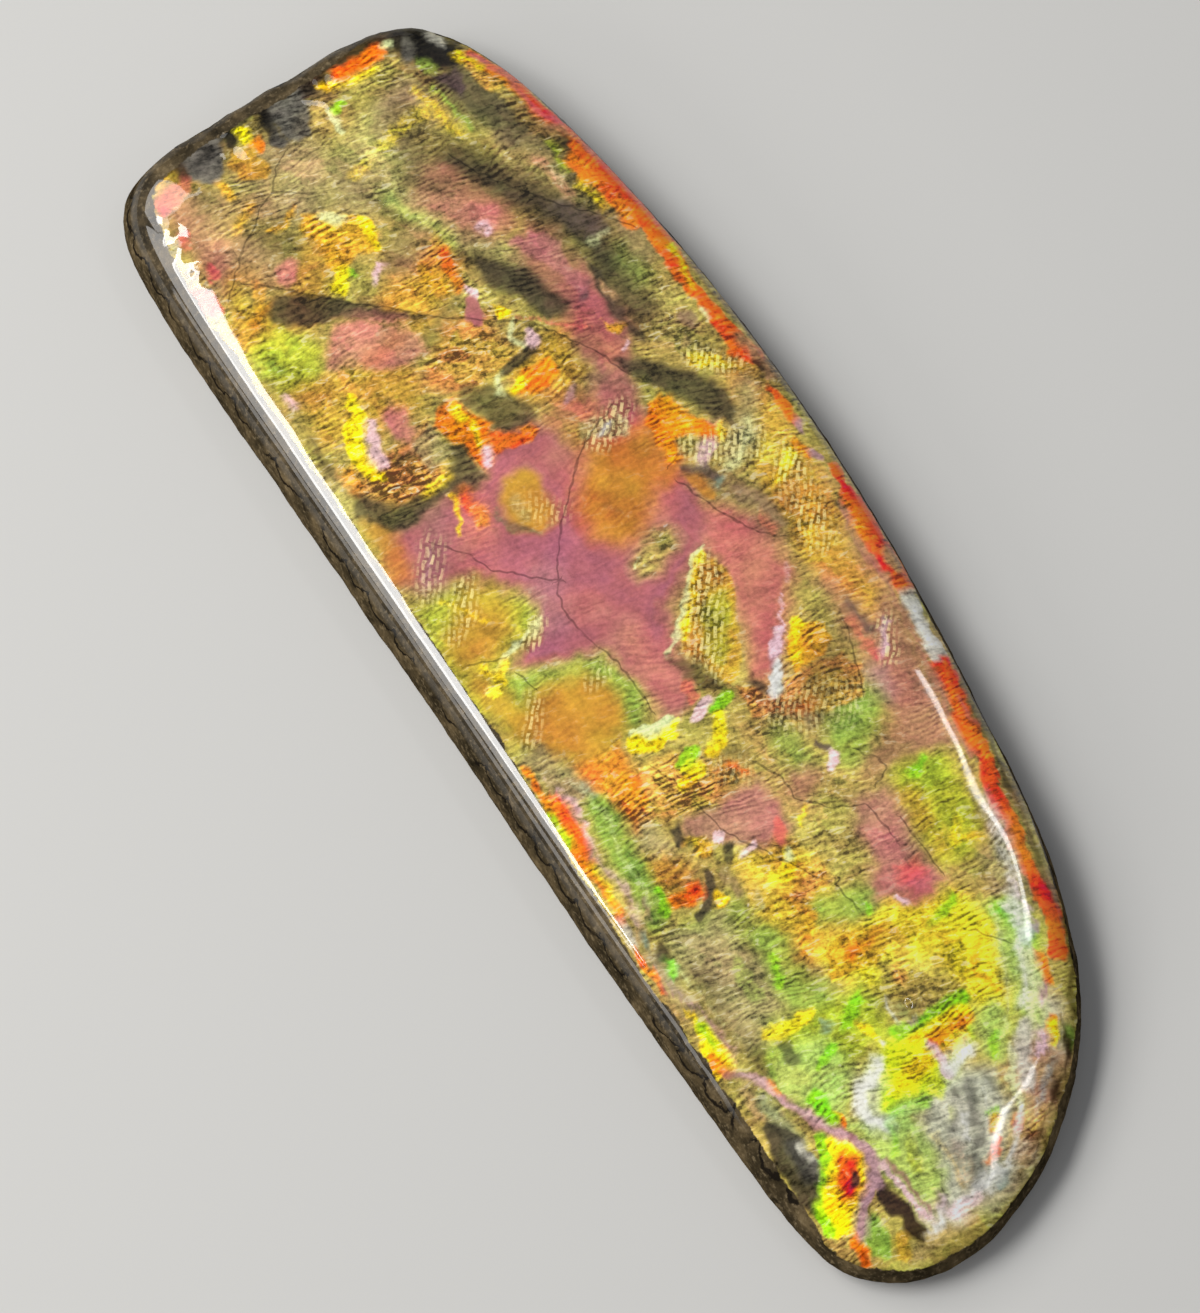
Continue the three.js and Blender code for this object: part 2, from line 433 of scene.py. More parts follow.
# Broad tones of the ground, one over the other: tone, reach, softness and strength, then the
# points in mm of a spot or a line. With no reach the points go round an area instead.
groundMarks = [
    # left third, from the square end
    ("oliveLight", 0, 1, 0.85, (-35.2, 1), (-34.4, 4), (-30.6, 4), (-28.6, 0.4), (-29, -3),
        (-33, -3.8)),
    ("haze", 0, 0.8, 0.7, (-36.6, 1.4), (-34.4, 1), (-33.6, 3), (-34.4, 4.4), (-36.4, 4.4)),
    ("khaki", 1.5, 0.9, 0.8, (-34.2, -3.8), (-32, -5)),
    ("haze", 1, 0.8, 0.6, (-35.4, -4.6), (-34.6, -7)),
    ("khaki", 1.2, 0.9, 0.7, (-33.4, 6.6), (-29, 7.8), (-25, 9)),
    ("greyHaze", 0.6, 0.6, 0.5, (-31, 7.4), (-27.6, 7)),
    ("oliveRipple", 1.4, 0.7, 0.8, (-27.6, 6.4), (-24.6, 8.2), (-22.2, 9.6)),
    ("olive", 1.6, 0.8, 0.7, (-27, 0.2), (-24, 2.2)),
    ("dustyRose", 1.2, 0.9, 0.85, (-34.4, -11.2), (-29.2, -11.2)),
    ("beige", 1, 0.8, 0.6, (-33.6, -9), (-32.4, -7.4)),
    ("khaki", 0.9, 0.8, 0.8, (-30.4, -9.8), (-28.8, -9)),
    ("ochre", 1.4, 0.8, 0.9, (-28.4, -10.4), (-26, -11.2)),
    ("yellowGreen", 0, 0.7, 0.8, (-25.8, -9.4), (-25, -12), (-21.8, -12), (-21, -9.6),
        (-23, -8.4)),
    ("ochre", 0, 0.8, 0.8, (-21.8, -5.6), (-19.6, -4.4), (-17, -5), (-17, -8), (-18, -11),
        (-21.6, -11)),
    ("gold", 1.5, 0.9, 0.7, (-24.6, 0.4), (-23, -3)),
    ("ochre", 1.5, 0.8, 0.7, (-28.2, -5.8), (-26.2, -8)),
    ("oliveRipple", 0, 0.6, 0.9, (-21, 10.6), (-19, 11), (-16, 11.2), (-13.6, 11.2), (-13, 10),
        (-14.4, 8.8), (-21, 8.4)),
    ("green", 0.9, 0.8, 0.5, (-19.8, 9.8), (-18.6, 9.9)),
    ("warmMauve", 0, 0.7, 0.9, (-21, 7.4), (-17, 7.6), (-13.8, 7.2), (-12, 6), (-12, 3.6),
        (-14.4, 4.6), (-19, 5.4)),
    ("greyHaze", 0.8, 0.6, 0.6, (-21.6, 11), (-19.4, 11)),
    ("oliveRipple", 1.4, 0.8, 0.6, (-21.4, 0.6), (-19, -0.4)),
    ("dark", 0.8, 1, 0.7, (-36, 6.2), (-33, 7.3), (-30, 8.4), (-27, 9.4), (-23, 10.2)),
    ("dark", 1.3, 1.1, 0.8, (-31.8, 2.4), (-29, 4.2), (-26.6, 5.8), (-24, 7.6), (-21, 8.8),
        (-17, 8.6)),
    ("dark", 1.2, 0.9, 0.75, (-24.4, 2), (-21.8, 3.4), (-19, 4.8), (-16.4, 5.6)),
    ("dark", 0.7, 0.9, 0.5, (-31.4, -2.2), (-29, -1), (-26.4, 0)),
    ("dark", 0.9, 0.9, 0.6, (-30.6, -9), (-29.6, -7.2)),
    ("dark", 0.8, 0.9, 0.5, (-34.6, -9.6), (-33.4, -10.2)),
    ("greyHaze", 0.8, 0.9, 0.6, (-34.8, 2), (-32.6, 2.8)),
    ("oliveLight", 0.6, 0.7, 0.9, (-30.6, -0.2), (-28, 0.9), (-25, 2), (-22.6, 4.4)),
    ("paleGreen", 0.35, 0.6, 0.6, (-29.6, -0.4), (-27, 0.4), (-25, 1.2)),
    ("oliveDark", 0.9, 0.7, 0.6, (-34.8, 5), (-33, 5.2)),
    # middle left
    ("ochre", 0, 0.7, 0.9, (-17.8, 4.2), (-14.4, 4.4), (-13.4, 2), (-14.8, 0.2), (-17.2, 0.4)),
    ("brownGold", 0, 0.6, 0.95, (-20.4, 0.8), (-16.8, 1.2), (-16.6, -3), (-18, -4.6),
        (-19.2, -3.6), (-21, -1.6)),
    ("brownGold", 0, 0.6, 0.95, (-16.2, -5.4), (-12.4, -5.8), (-12.2, -8), (-13.6, -11.4),
        (-17, -11.4), (-15.6, -8.6)),
    ("ochre", 1.6, 0.8, 0.8, (-12.6, 2.2), (-11.4, 1.2)),
    ("ochre", 0, 0.7, 0.9, (-13, 12.4), (-10, 13.2), (-5, 13), (1, 12.8), (6, 12.6), (6, 10),
        (0, 10), (-4, 9.6), (-9, 11)),
    ("khaki", 0.8, 0.6, 0.8, (-9, 12), (-7.2, 10.8), (-6.4, 9.6)),
    ("oliveRipple", 0.8, 0.7, 0.6, (-5.8, 9.2), (-4.4, 8.6)),
    # the magenta field and what lies round it
    ("coral", 0, 0.9, 1, (-4.4, 5), (-3.6, 7.2), (-1.2, 9), (1.6, 9), (4, 7), (6.4, 5),
        (6.2, 3.8), (3, 4.8), (-1.6, 5)),
    ("magenta", 0, 0.8, 1, (-12.4, 5.6), (-8, 6), (-3.6, 6), (-1.6, 4.6), (0, 1.6), (2.8, 0.4),
        (5.6, 0), (5.9, -1.8), (3, -2.3), (0.7, -3), (0.2, -5), (-0.8, -8), (-2.4, -6),
        (-4, -4.8), (-6.2, -6.6), (-7, -8.6), (-8.4, -11), (-11.8, -10.8), (-11.2, -7),
        (-12, -4.2), (-13.2, -2.4), (-13.8, -0.4), (-12.6, 0.8), (-10.8, 1.6), (-10.6, 4.4)),
    ("salmon", 2.9, 1.4, 0.6, (-8.4, 3.2), (-7.2, 2.4)),
    ("mauve", 1.6, 1, 0.8, (-10, -7), (-7.8, -9)),
    ("rose", 1.3, 1, 0.7, (-9.4, -5.8), (-7.4, -7.2)),
    ("rose", 1, 1, 0.6, (-13, 1.6), (-12.6, 4.8)),
    ("rose", 1.3, 0.9, 0.75, (-22.4, 5.6), (-16, 6.6)),
    ("rose", 1.2, 0.9, 0.75, (-28.6, 2), (-25.4, 3.8)),
    ("salmon", 0.9, 1, 0.5, (-17, 5), (-14.6, 6)),
    ("dark", 0.5, 0.7, 0.35, (-26, -9), (-24.6, -6.6), (-23.4, -4.6)),
    ("dark", 1.3, 0.6, 0.9, (-37.9, -9.8), (-38.1, -1.6)),
    ("black", 0.6, 0.6, 0.8, (-38.2, -3.6), (-36.8, -3.9)),
    ("ochre", 0.8, 0.6, 0.9, (-36.8, -11.8), (-36.4, -10.6)),
    ("dark", 1.2, 0.6, 0.9, (-37.8, 4.4), (-36.2, 6.8)),
    ("dark", 0.6, 0.8, 0.6, (-36.4, 4.6), (-34.6, 4.2)),
    ("oliveDark", 1, 0.9, 0.7, (-36, 3.8), (-36, 0.4)),
    ("greyHaze", 0.9, 0.9, 0.6, (-34.6, 3.4), (-33, 1.6)),
    ("darkBrown", 0.9, 0.8, 0.7, (-37.6, -11.6), (-36.4, -8.4)),
    ("darkBrown", 0.8, 0.6, 0.8, (-38.6, 4), (-38.6, -1.2)),
    ("dark", 0.9, 0.9, 0.65, (-34, 5.8), (-31.4, 6.6)),
    ("dark", 0.6, 0.9, 0.5, (-30, 1.4), (-27.6, 2.4)),
    ("dark", 0.7, 0.8, 0.5, (-33, 7.7), (-30, 8.6)),
    ("darkPurple", 1, 0.9, 0.4, (-16.2, 5.2), (-14.2, 4.6)),
    ("darkBrown", 0.9, 0.9, 0.4, (-21.2, -1), (-20.6, -3)),
    ("dark", 0.45, 0.7, 0.6, (17.6, -8), (20.6, -7.7), (23.8, -6.8), (26.4, -6.9)),
    ("beige", 0.9, 0.9, 0.6, (-26.4, -0.6), (-25.4, -1.6)),
    ("haze", 1.1, 0.9, 0.5, (-31.6, -1.6), (-30.2, -3), (-32.2, -7)),
    ("haze", 0.8, 0.9, 0.5, (-34.6, -5.6), (-33.6, -6.6)),
    ("olive", 0.9, 0.9, 0.5, (-33, 2.6), (-31, 3.4)),
    ("khaki", 0.9, 0.9, 0.55, (-16, -11.4), (-13.6, -11.2)),
    ("olive", 1.3, 0.9, 0.5, (23, 3), (24.4, 4.6)),
    ("dustyRose", 0.8, 0.9, 0.6, (21.4, 5.8), (22.4, 4.4)),
    ("beige", 0.8, 0.9, 0.6, (19.6, 11.3), (23.4, 10.3)),
    ("silver", 0.8, 0.8, 0.7, (30.6, 8.8), (33.2, 7.4)),
    ("silver", 0.6, 0.7, 0.7, (37.2, 3.4), (38.4, 0.4)),
    ("silver", 0.6, 0.7, 0.6, (36.2, -2.6), (38, -2.6)),
    ("brownGold", 1, 0.9, 0.45, (-7.4, 12), (-4.4, 12.2)),
    ("beige", 1.1, 1, 0.55, (-33, -10.6), (-28, -9.4)),
    ("olive", 1.2, 0.9, 0.45, (-5.8, -8), (-3.2, -8)),
    ("goldPlain", 1.6, 0.9, 0.55, (15.6, 9.6), (19.4, 9.2)),
    ("warmMauve", 1.5, 1, 0.45, (9.5, 4.6), (12.6, 3.2)),
    ("darkBrown", 1.2, 1, 0.4, (8.2, 8.4), (9.8, 5.4)),
    ("violet", 1, 1, 0.35, (-4.6, -3.8), (-2.6, -4.4)),
    ("coral", 1.2, 1, 0.6, (1, -1), (4, -1)),
    ("orangeCore", 2.3, 1, 1, (-8.4, 3.4), (-6.8, 1.8)),
    ("orangeCore", 0.9, 0.8, 0.9, (-9.4, 5.4), (-7, 5.4)),
    ("olive", 0.9, 0.7, 0.9, (-3.2, 2.9), (-2.8, 2)),
    ("coral", 1.1, 0.6, 0.4, (-2.3, -2.3)),
    ("coral", 0.9, 0.6, 0.8, (-10.8, -5.2), (-9, -5.6)),
    ("orangeCore", 0.7, 0.6, 0.8, (-12, -10.8), (-9, -10.8)),
    ("goldPlain", 1.3, 0.45, 0.95, (-9.9, -2.4), (-8.4, -2.4)),
    ("yellowGreen", 0, 0.8, 0.7, (-7.2, -9.4), (-7, -8), (-5.4, -6.4), (-3.6, -5.2), (-2.2, -6),
        (-1.8, -7.6), (0.6, -8), (1, -11.4), (-6.6, -11.4)),
    ("goldPlain", 1.6, 1, 0.75, (-4.8, -7.8), (-3.4, -9.2)),
    ("green", 0, 0.6, 0.9, (0.8, -3.4), (3.4, -2.4), (5.4, -2.9), (6, -7), (4, -9.4), (1, -10.6),
        (-0.2, -8), (0.3, -5)),
    ("goldPlain", 0, 0.8, 0.95, (1, -4.8), (3, -3.6), (5.4, -4), (6, -6.4), (5, -8.8),
        (1.2, -9.8), (0.8, -7.4)),
    ("goldPlain", 0.8, 0.8, 0.8, (-0.6, -9.8), (2, -9.6)),
    ("darkPurple", 1, 0.8, 0.45, (-4.6, 7.8), (-1.4, 9.2)),
    # right of the centre
    ("dustyRose", 0, 0.8, 0.9, (0.6, 13), (8, 13), (15, 12.3), (14.6, 9), (11, 9.4), (8.6, 10),
        (6, 9.6), (3, 9.6)),
    ("ochre", 0, 0.7, 0.9, (-0.6, 12.4), (4.8, 12.4), (6, 11.4), (4, 10.4), (1.4, 10), (-2, 10)),
    ("violet", 0.7, 0.7, 0.5, (9.2, 9.8), (10.4, 9.6)),
    ("green", 1.2, 0.9, 0.85, (10.6, 8), (12, 6.4)),
    ("dustyRose", 0.9, 0.8, 0.7, (13.4, 8.4), (13.8, 7.2)),
    ("yellowGreen", 0, 0.7, 0.9, (14.6, 8), (14.8, 11), (19, 11), (21, 10), (20.6, 7.8),
        (17, 7.4)),
    ("ochre", 0.7, 0.6, 0.7, (16.4, 7.9), (19.6, 8.3)),
    ("warmMauve", 0, 0.7, 0.85, (14.6, 4.6), (15.4, 7.2), (18.6, 7.2), (21.6, 7.4), (22.2, 5),
        (20.4, 3.2), (18, 4.2)),
    ("olive", 0, 0.8, 0.9, (8.4, 1.4), (8, 4.8), (10.6, 5.6), (14, 5), (18.6, 4.2), (19, 1),
        (13.4, 1.4), (11.4, 2)),
    ("green", 0.8, 0.8, 0.6, (9.6, 3.4), (11.6, 3.6)),
    ("dustyRose", 0.8, 0.6, 0.8, (12.4, 3.4), (12.8, 2.8)),
    ("warmMauve", 0, 0.6, 0.9, (11.2, 0.9), (14.4, 1.4), (15.6, 0.2), (13.6, -2.4), (12.6, -4),
        (11.2, -3.4)),
    ("brownGold", 0, 0.6, 0.9, (7.6, -2.2), (10.8, 0.8), (11.2, -2), (10.8, -5.8), (8.4, -6.8),
        (7.4, -4.6)),
    ("khaki", 0.9, 0.7, 0.9, (11.4, -5.8), (12.6, -5.6)),
    ("ochre", 1.1, 0.7, 0.9, (13.2, -6.6), (13.8, -5.8)),
    ("orange", 0, 0.6, 0.75, (5.8, -4.8), (8.4, -5), (10.6, -6.2), (8, -7.2), (5.8, -7.6)),
    ("gold", 0, 0.8, 0.8, (14.8, -2.4), (15, 0.4), (17, 1.8), (21, 1.4), (21.6, -2.4),
        (18, -2.8)),
    ("green", 1, 0.8, 0.8, (17.4, -4), (17.4, -6)),
    ("khaki", 0, 0.8, 0.9, (16.8, -4.4), (21, -3.8), (24, -4), (24, -6.4), (19, -7.4),
        (16.6, -7)),
    ("green", 1, 0.7, 0.8, (19.4, -3), (21.6, -3.2)),
    ("green", 1, 0.7, 0.8, (22.8, -3), (23.6, -2)),
    ("green", 1, 0.7, 0.9, (19.6, 0.6), (20, 2.6)),
    ("brightYellow", 0, 0.8, 0.8, (21.2, 4), (22.4, 8), (24.6, 8.8), (29.6, 8), (31, 5.4),
        (27, 4.6), (24.8, 0.6), (21.4, -1.4)),
    ("olive", 0, 0.6, 0.8, (23.4, 1.6), (25, 4.8), (27, 5), (26.8, 2.6), (25, 1)),
    ("yellowGreen", 0, 0.7, 0.95, (24.2, 0.4), (25.4, 0.6), (27.6, 0.2), (27.8, -3), (25.6, -6.6),
        (23.6, -6), (24, -3)),
    ("paleGreen", 0, 0.8, 0.9, (25.6, -3), (28.6, -2.8), (30, -4.4), (28.6, -6), (26.4, -6.8),
        (25.2, -5.6)),
    # rounded tip
    ("limeYellow", 0, 0.5, 0.95, (27.8, 4.6), (30, 4.2), (31.6, 1.4), (32, -2.2), (30.4, -3),
        (28.4, -2), (27.6, 0.4)),
    # the pale tip is part mineral and part painted glare
    ("silver", 0, 0.7, 0.9, (30.8, 2), (32, 4.2), (34.4, 4), (36.2, 2.4), (38, 1.6), (38, -1.6),
        (34, -1), (31.6, -0.4)),
    ("paleGreen", 0, 0.6, 0.95, (31.4, -1), (34, -0.8), (36.6, -1.2), (36.6, -3.2), (33.6, -4.2),
        (30.6, -4.4)),
    ("paleGreen", 1, 0.7, 0.9, (31, 5.2), (29.4, 5.8)),
    ("silver", 0.6, 0.7, 0.8, (32.2, 7.6), (34.8, 5.6)),
    ("silver", 0.7, 0.8, 0.7, (29.2, -2), (31.4, -2.8)),
    ("beige", 0, 0.6, 0.9, (31.8, 4.8), (31.6, 7.4), (33.8, 8.4), (36.4, 6), (36.4, 4.4),
        (34.4, 5)),
    ("khaki", 1, 0.7, 0.8, (24, 10.2), (21.6, 11)),
    ("lime", 0.7, 0.6, 0.8, (24.4, 9.6), (27, 9.4)),
    ("paleGreen", 0.9, 0.7, 0.9, (26, 9), (30.6, 7.6)),
    ("beige", 0.6, 0.5, 0.8, (38.4, -1), (39, -4.4)),
    ("beige", 0, 0.6, 0.9, (34.4, 6.2), (35.8, 6.6), (38.2, 2.6), (38.8, -0.6), (37.6, -0.4),
        (36.8, 2.6)),
    ("silver", 0.5, 0.7, 0.8, (37.4, 1.6), (38.2, -1.6)),
    # lower layers that show along the straight edge
    ("haze", 0.7, 0.5, 0.85, (4, -9.2), (7.2, -8.2)),
    ("green", 0.8, 0.5, 0.9, (8.4, -7.7), (15.4, -7.9)),
    ("khaki", 0.9, 0.7, 0.8, (17.6, -7), (24, -6)),
    ("haze", 0.6, 0.5, 0.8, (17.4, -9), (21, -8.9)),
    ("teal", 0.5, 0.5, 0.5, (27.4, -7.7), (30, -7.3)),
]

# Flashes with crisp edges that lie over the ground, in the same form
facetMarks = [
    ("dark", 0.9, 0.35, 0.9, (-38, -1.9), (-37.7, -4.8)),
    ("black", 0.8, 0.35, 0.9, (-37.9, -7.2), (-37.6, -11)),
    ("darkBrown", 0.6, 0.35, 0.85, (-36.8, -8.4), (-36.4, -10.4)),
    ("dark", 0.8, 0.35, 0.85, (-38.2, 4.4), (-37.6, 6)),
    ("darkBrown", 0.5, 0.35, 0.8, (-38.6, 3.6), (-38.7, -1)),
    ("oliveDark", 0.5, 0.5, 0.7, (-36.2, 4.2), (-36, 1)),
    # dark streaks of the left third
    ("dark", 0.7, 0.9, 0.7, (-29.6, 3.4), (-28, 4.6), (-26, 5.8), (-24.4, 7), (-22.2, 8.3),
        (-19.6, 8.8)),
    ("darkPurple", 0.9, 0.6, 0.7, (-24.2, 7.8), (-22, 9)),
    ("dark", 0.6, 0.6, 0.6, (-33.4, 6.2), (-31, 6.9), (-29, 7.6)),
    ("dark", 0, 0.5, 0.8, (-23.2, 3.2), (-22, 4.5), (-20, 4.9), (-18.8, 5.6), (-18.2, 4),
        (-20.2, 2.8), (-21.8, 1.6), (-23.2, 1.8)),
    ("dark", 0, 0.35, 0.85, (-21, 7.6), (-19.6, 8.5), (-17.6, 8.4), (-16.4, 8), (-14.4, 8.6),
        (-14.6, 7.9), (-17, 7.2), (-19.4, 7.4)),
    ("darkPurple", 0.4, 0.3, 0.8, (-19.4, 6.9), (-18.6, 6.2)),
    ("dark", 0, 0.5, 0.88, (-14.6, 5.8), (-14, 7.6), (-12.9, 8.7), (-11, 10.2), (-9.8, 11.1),
        (-8.2, 10.8), (-7.3, 10), (-8.2, 9.4), (-9.8, 8.6), (-10.9, 7.7), (-11.7, 7),
        (-13.2, 6.2)),
    ("darkPurple", 0, 0.4, 0.5, (-27.2, -0.8), (-25.4, -0.6), (-24.8, -2), (-25, -3),
        (-26.2, -3.2), (-27, -1.8)),
    ("dark", 0, 0.4, 0.85, (-27.4, -8.8), (-25.8, -6.8), (-24.4, -5.2), (-23.4, -3.6),
        (-21.4, -1.6), (-22.2, -3.6), (-23, -5), (-23.8, -6.4), (-24.4, -7.8), (-25.2, -9),
        (-25.8, -10.2), (-27, -10.8)),
    ("dark", 0, 0.5, 0.75, (-17.4, -2.6), (-16.6, -1), (-15.4, 0.2), (-14, 0.6), (-13, -0.4),
        (-13.6, -2.2), (-15, -2.6), (-16, -3.4)),
    ("dark", 0, 0.45, 0.85, (-13.4, -4), (-11.8, -3.8), (-11.3, -5.6), (-11.4, -7), (-11, -8),
        (-11, -9.4), (-12, -10.6), (-13.2, -11.4), (-15, -11.4), (-14, -10.2), (-13, -9.4),
        (-12.8, -8), (-12.3, -6.6), (-13, -5.6), (-14.6, -5)),
    ("dark", 0.45, 0.3, 0.7, (-15, -7), (-15, -7.8)),
    ("dark", 0.4, 0.4, 0.7, (-16, -11.4), (-18.6, -11.4)),
    ("dark", 0.5, 0.3, 0.9, (-17, 1.8), (-16.6, 0.4)),
    ("khaki", 0, 0.3, 0.8, (-16.2, -5), (-13.6, -5), (-13.2, -6.6), (-15.8, -6.8)),
    # flashes of the left third
    ("warmRose", 0, 0.7, 0.9, (-28.8, 1.4), (-28, 2.4), (-27, 3.6), (-25.8, 4.7), (-24.7, 4),
        (-24.4, 3.4), (-25.8, 2.4), (-27, 1.5), (-28, 0.9)),
    ("pinkWhite", 0.2, 0.2, 0.8, (-25.2, 3.3), (-24.5, 3.5)),
    ("warmMauve", 0, 0.4, 0.95, (-24, 4), (-23.6, 5.6), (-23, 6.6), (-22.2, 7.2), (-21, 6.7),
        (-19, 7.1), (-19, 6.1), (-20.6, 5.5), (-22.2, 5)),
    ("yellow", 0.5, 0.6, 0.6, (-34.4, 4), (-32.8, 4.4), (-31, 4.8)),
    ("green", 0.3, 0.4, 0.75, (-34.4, 4.9), (-32.6, 5.4), (-31, 5.5)),
    ("yellow", 0.6, 0.5, 0.55, (-33, 3.6), (-32.4, 1), (-31.6, -1.6)),
    ("limeWhite", 0.4, 0.4, 0.35, (-33, -0.4), (-31, 0.3), (-28.8, 0.8)),
    ("gold", 0, 0.3, 0.9, (-31, -5.6), (-30.2, -4), (-29, -2.8), (-27.8, -2), (-26.8, -2.4),
        (-27, -3.6), (-26.4, -5), (-27, -5.7), (-29, -5.8), (-30.2, -6.2)),
    ("limeWhite", 0.35, 0.25, 0.8, (-30, -4.4), (-29.4, -3.8)),
    ("yellow", 0.35, 0.25, 0.95, (-28.5, -2.6), (-27.2, -2.4)),
    ("yellow", 0.5, 0.3, 0.95, (-26.4, -5), (-25.6, -5.8)),
    ("lime", 0.3, 0.3, 0.8, (-26.1, -4.4)),
    ("pinkWhite", 0.25, 0.25, 0.85, (-26, -3), (-25.3, -3.8)),
    ("orange", 0.5, 0.4, 0.8, (-24.6, 0.5), (-22.4, 0.2)),
    ("gold", 0.6, 0.4, 0.8, (-24.6, -1), (-22.8, -0.8)),
    ("yellow", 0.36, 0.15, 1, (-20.1, 1.6), (-19.9, 1.7)),
    ("magenta", 0.5, 0.2, 0.95, (-21, 0.4), (-20.4, 0.2)),
    ("pinkWhite", 0.28, 0.2, 0.95, (-21.9, 0.6), (-21.4, 0.9)),
    ("warmRose", 0, 0.8, 0.95, (-23.6, -5.6), (-22.6, -3.8), (-21.2, -3), (-19.8, -3.2),
        (-19.4, -4.4), (-20.2, -6), (-21.2, -7.4), (-21.8, -8.6), (-22.8, -8.4), (-23.9, -7.6)),
    ("salmon", 0.5, 0.5, 0.6, (-21.8, -4.4), (-21, -6)),
    ("warmRose", 0.6, 0.4, 0.85, (-28.6, -7.8), (-28, -8.2)),
    ("gold", 0.2, 0.2, 0.8, (-31.6, -5.6), (-31, -6.6), (-30.6, -7.8)),
    ("gold", 0.5, 0.4, 0.7, (-32.8, -8), (-31.8, -9)),
    ("orange", 0.5, 0.5, 0.6, (-28, -9.6), (-26.4, -11)),
    ("green", 0.4, 0.4, 0.7, (-23.6, -11.2), (-22.8, -11)),
    ("pinkWhite", 0.4, 0.3, 0.7, (-21.6, -11.6), (-21, -11.3)),
    ("yellow", 0.3, 0.2, 0.9, (-19.8, -8.3), (-19.2, -8.6)),
    ("salmon", 0.7, 0.3, 0.95, (-29.4, -13.4), (-28.2, -13)),
    ("limeWhite", 0.22, 0.25, 0.7, (-26.2, 8.6), (-25.6, 8.7)),
    ("warmRose", 0.45, 0.4, 0.6, (-27.2, 7.9), (-24.6, 9)),
    ("limeWhite", 0.25, 0.25, 0.5, (-21.4, 9.4), (-21.2, 8.6)),
    ("beige", 0.2, 0.2, 0.8, (-18.8, 8), (-17.8, 8.1)),
    ("gold", 0, 0.25, 0.95, (-16.9, 6.6), (-16.2, 7.6), (-15.7, 7.2), (-16, 6.6)),
    ("pinkWhite", 0.18, 0.2, 0.9, (-15, 7.3), (-14.7, 6.8)),
    ("beige", 0.3, 0.3, 0.7, (-13.6, 10.2), (-13.3, 10)),
    ("greyHaze", 0.5, 0.3, 0.8, (-14.6, 10.6), (-14.2, 11)),
    ("salmon", 0.12, 0.15, 0.75, (-16.6, 6), (-17.4, 4.8), (-18.6, 3.6), (-19.3, 2.2)),
    ("pinkWhite", 0.35, 0.2, 0.9, (-18.2, 2.5), (-17.5, 2.3)),
    ("limeWhite", 0.25, 0.2, 0.8, (-19.2, 1.8), (-18.4, 1.4), (-17.6, 1.8)),
    ("orange", 0, 0.3, 0.95, (-16.4, 2.6), (-15, 2.8), (-14.6, 1.2), (-15.2, 0.2), (-16, 1)),
    ("yellow", 0.3, 0.2, 1, (-15.7, 0.6), (-15.4, 0.1)),
    ("limeWhite", 0.22, 0.2, 0.7, (-16.6, -0.2), (-15.8, -0.6)),
    ("orange", 0.5, 0.25, 0.9, (-13, -0.4), (-12.6, -0.7)),
    ("redOrange", 0, 0.25, 0.95, (-13.8, -2.4), (-13.4, -1), (-12.6, -0.2), (-12.2, -1.4),
        (-12.6, -2.6)),
    ("orange", 0, 0.2, 1, (-16.7, -3.2), (-15.2, -2.8), (-14.4, -2), (-13.4, -2.4), (-12.4, -2.8),
        (-12.2, -3.6), (-13.4, -4.2), (-14.4, -4.8), (-15.8, -5), (-16.4, -4.4)),
    ("yellow", 0.35, 0.2, 1, (-16, -3.5), (-15.2, -3.5)),
    ("yellow", 0.22, 0.2, 1, (-14.6, -3), (-13.4, -3.2)),
    ("pinkWhite", 0.28, 0.2, 0.95, (-12.9, -2.9), (-12.5, -3.3)),
    ("warmRose", 0, 0.7, 0.95, (-18.4, -6.6), (-17.6, -5.7), (-16.2, -5.9), (-15.6, -6.8),
        (-16.4, -7.6), (-17.8, -7.5)),
    ("magenta", 0.3, 0.4, 0.6, (-17.6, -7.2), (-16.4, -7.3)),
    ("yellow", 0, 0.2, 1, (-19.3, -8.2), (-18.4, -7.9), (-17.6, -8.8), (-16, -8.9), (-14.5, -9),
        (-14.6, -10), (-16.4, -10.1), (-18.2, -9.6)),
    ("pinkWhite", 0.35, 0.2, 0.85, (-17.8, -8.1), (-16.6, -8.5), (-15.4, -8.8)),
    ("orange", 0.5, 0.4, 0.7, (-16, -10.6), (-14.8, -10.8)),
    ("yellow", 0.35, 0.35, 0.7, (-12.6, -6.2), (-12.4, -7.2)),
    ("orange", 0.5, 0.4, 0.8, (-11.2, -5.4), (-9.4, -5)),
    ("yellow", 0.2, 0.2, 0.85, (-11.4, -6), (-10.4, -6.3), (-9.7, -6.7)),
    # top of the middle
    ("yellow", 0, 0.25, 0.8, (-13, 9.8), (-11.6, 11.8), (-10, 12.4), (-10.6, 11.4), (-12, 9.6)),
    ("khaki", 0.6, 0.4, 0.6, (-8.4, 12), (-7.6, 10.8)),
    ("limeWhite", 0.5, 0.4, 0.6, (-7, 10.8), (-5.9, 9.4), (-5.7, 8.6)),
    ("pinkWhite", 0.5, 0.3, 0.75, (-7.9, 9), (-6.8, 7.2)),
    ("yellow", 0.5, 0.4, 0.7, (-4.8, 12.4), (-3.4, 10.8)),
    ("gold", 0.6, 0.4, 0.7, (-2, 12), (0.6, 10.6)),
    ("orange", 0, 0.3, 1, (-11.3, 7.1), (-10.8, 7.8), (-9.8, 8.2), (-8.2, 9.2), (-7.3, 9.4),
        (-7.5, 8.6), (-8.2, 7.6), (-8, 6.6), (-7, 6.2), (-7, 5.5), (-9, 5.6), (-10.2, 5.6),
        (-11.2, 6.2)),
    ("yellow", 0.3, 0.2, 0.9, (-7.9, 9.3), (-7.4, 9)),
    ("darkPurple", 0, 0.3, 0.85, (-6.8, 5.9), (-6.5, 7.4), (-5.4, 8.2), (-4.8, 7.8), (-5.6, 6.8),
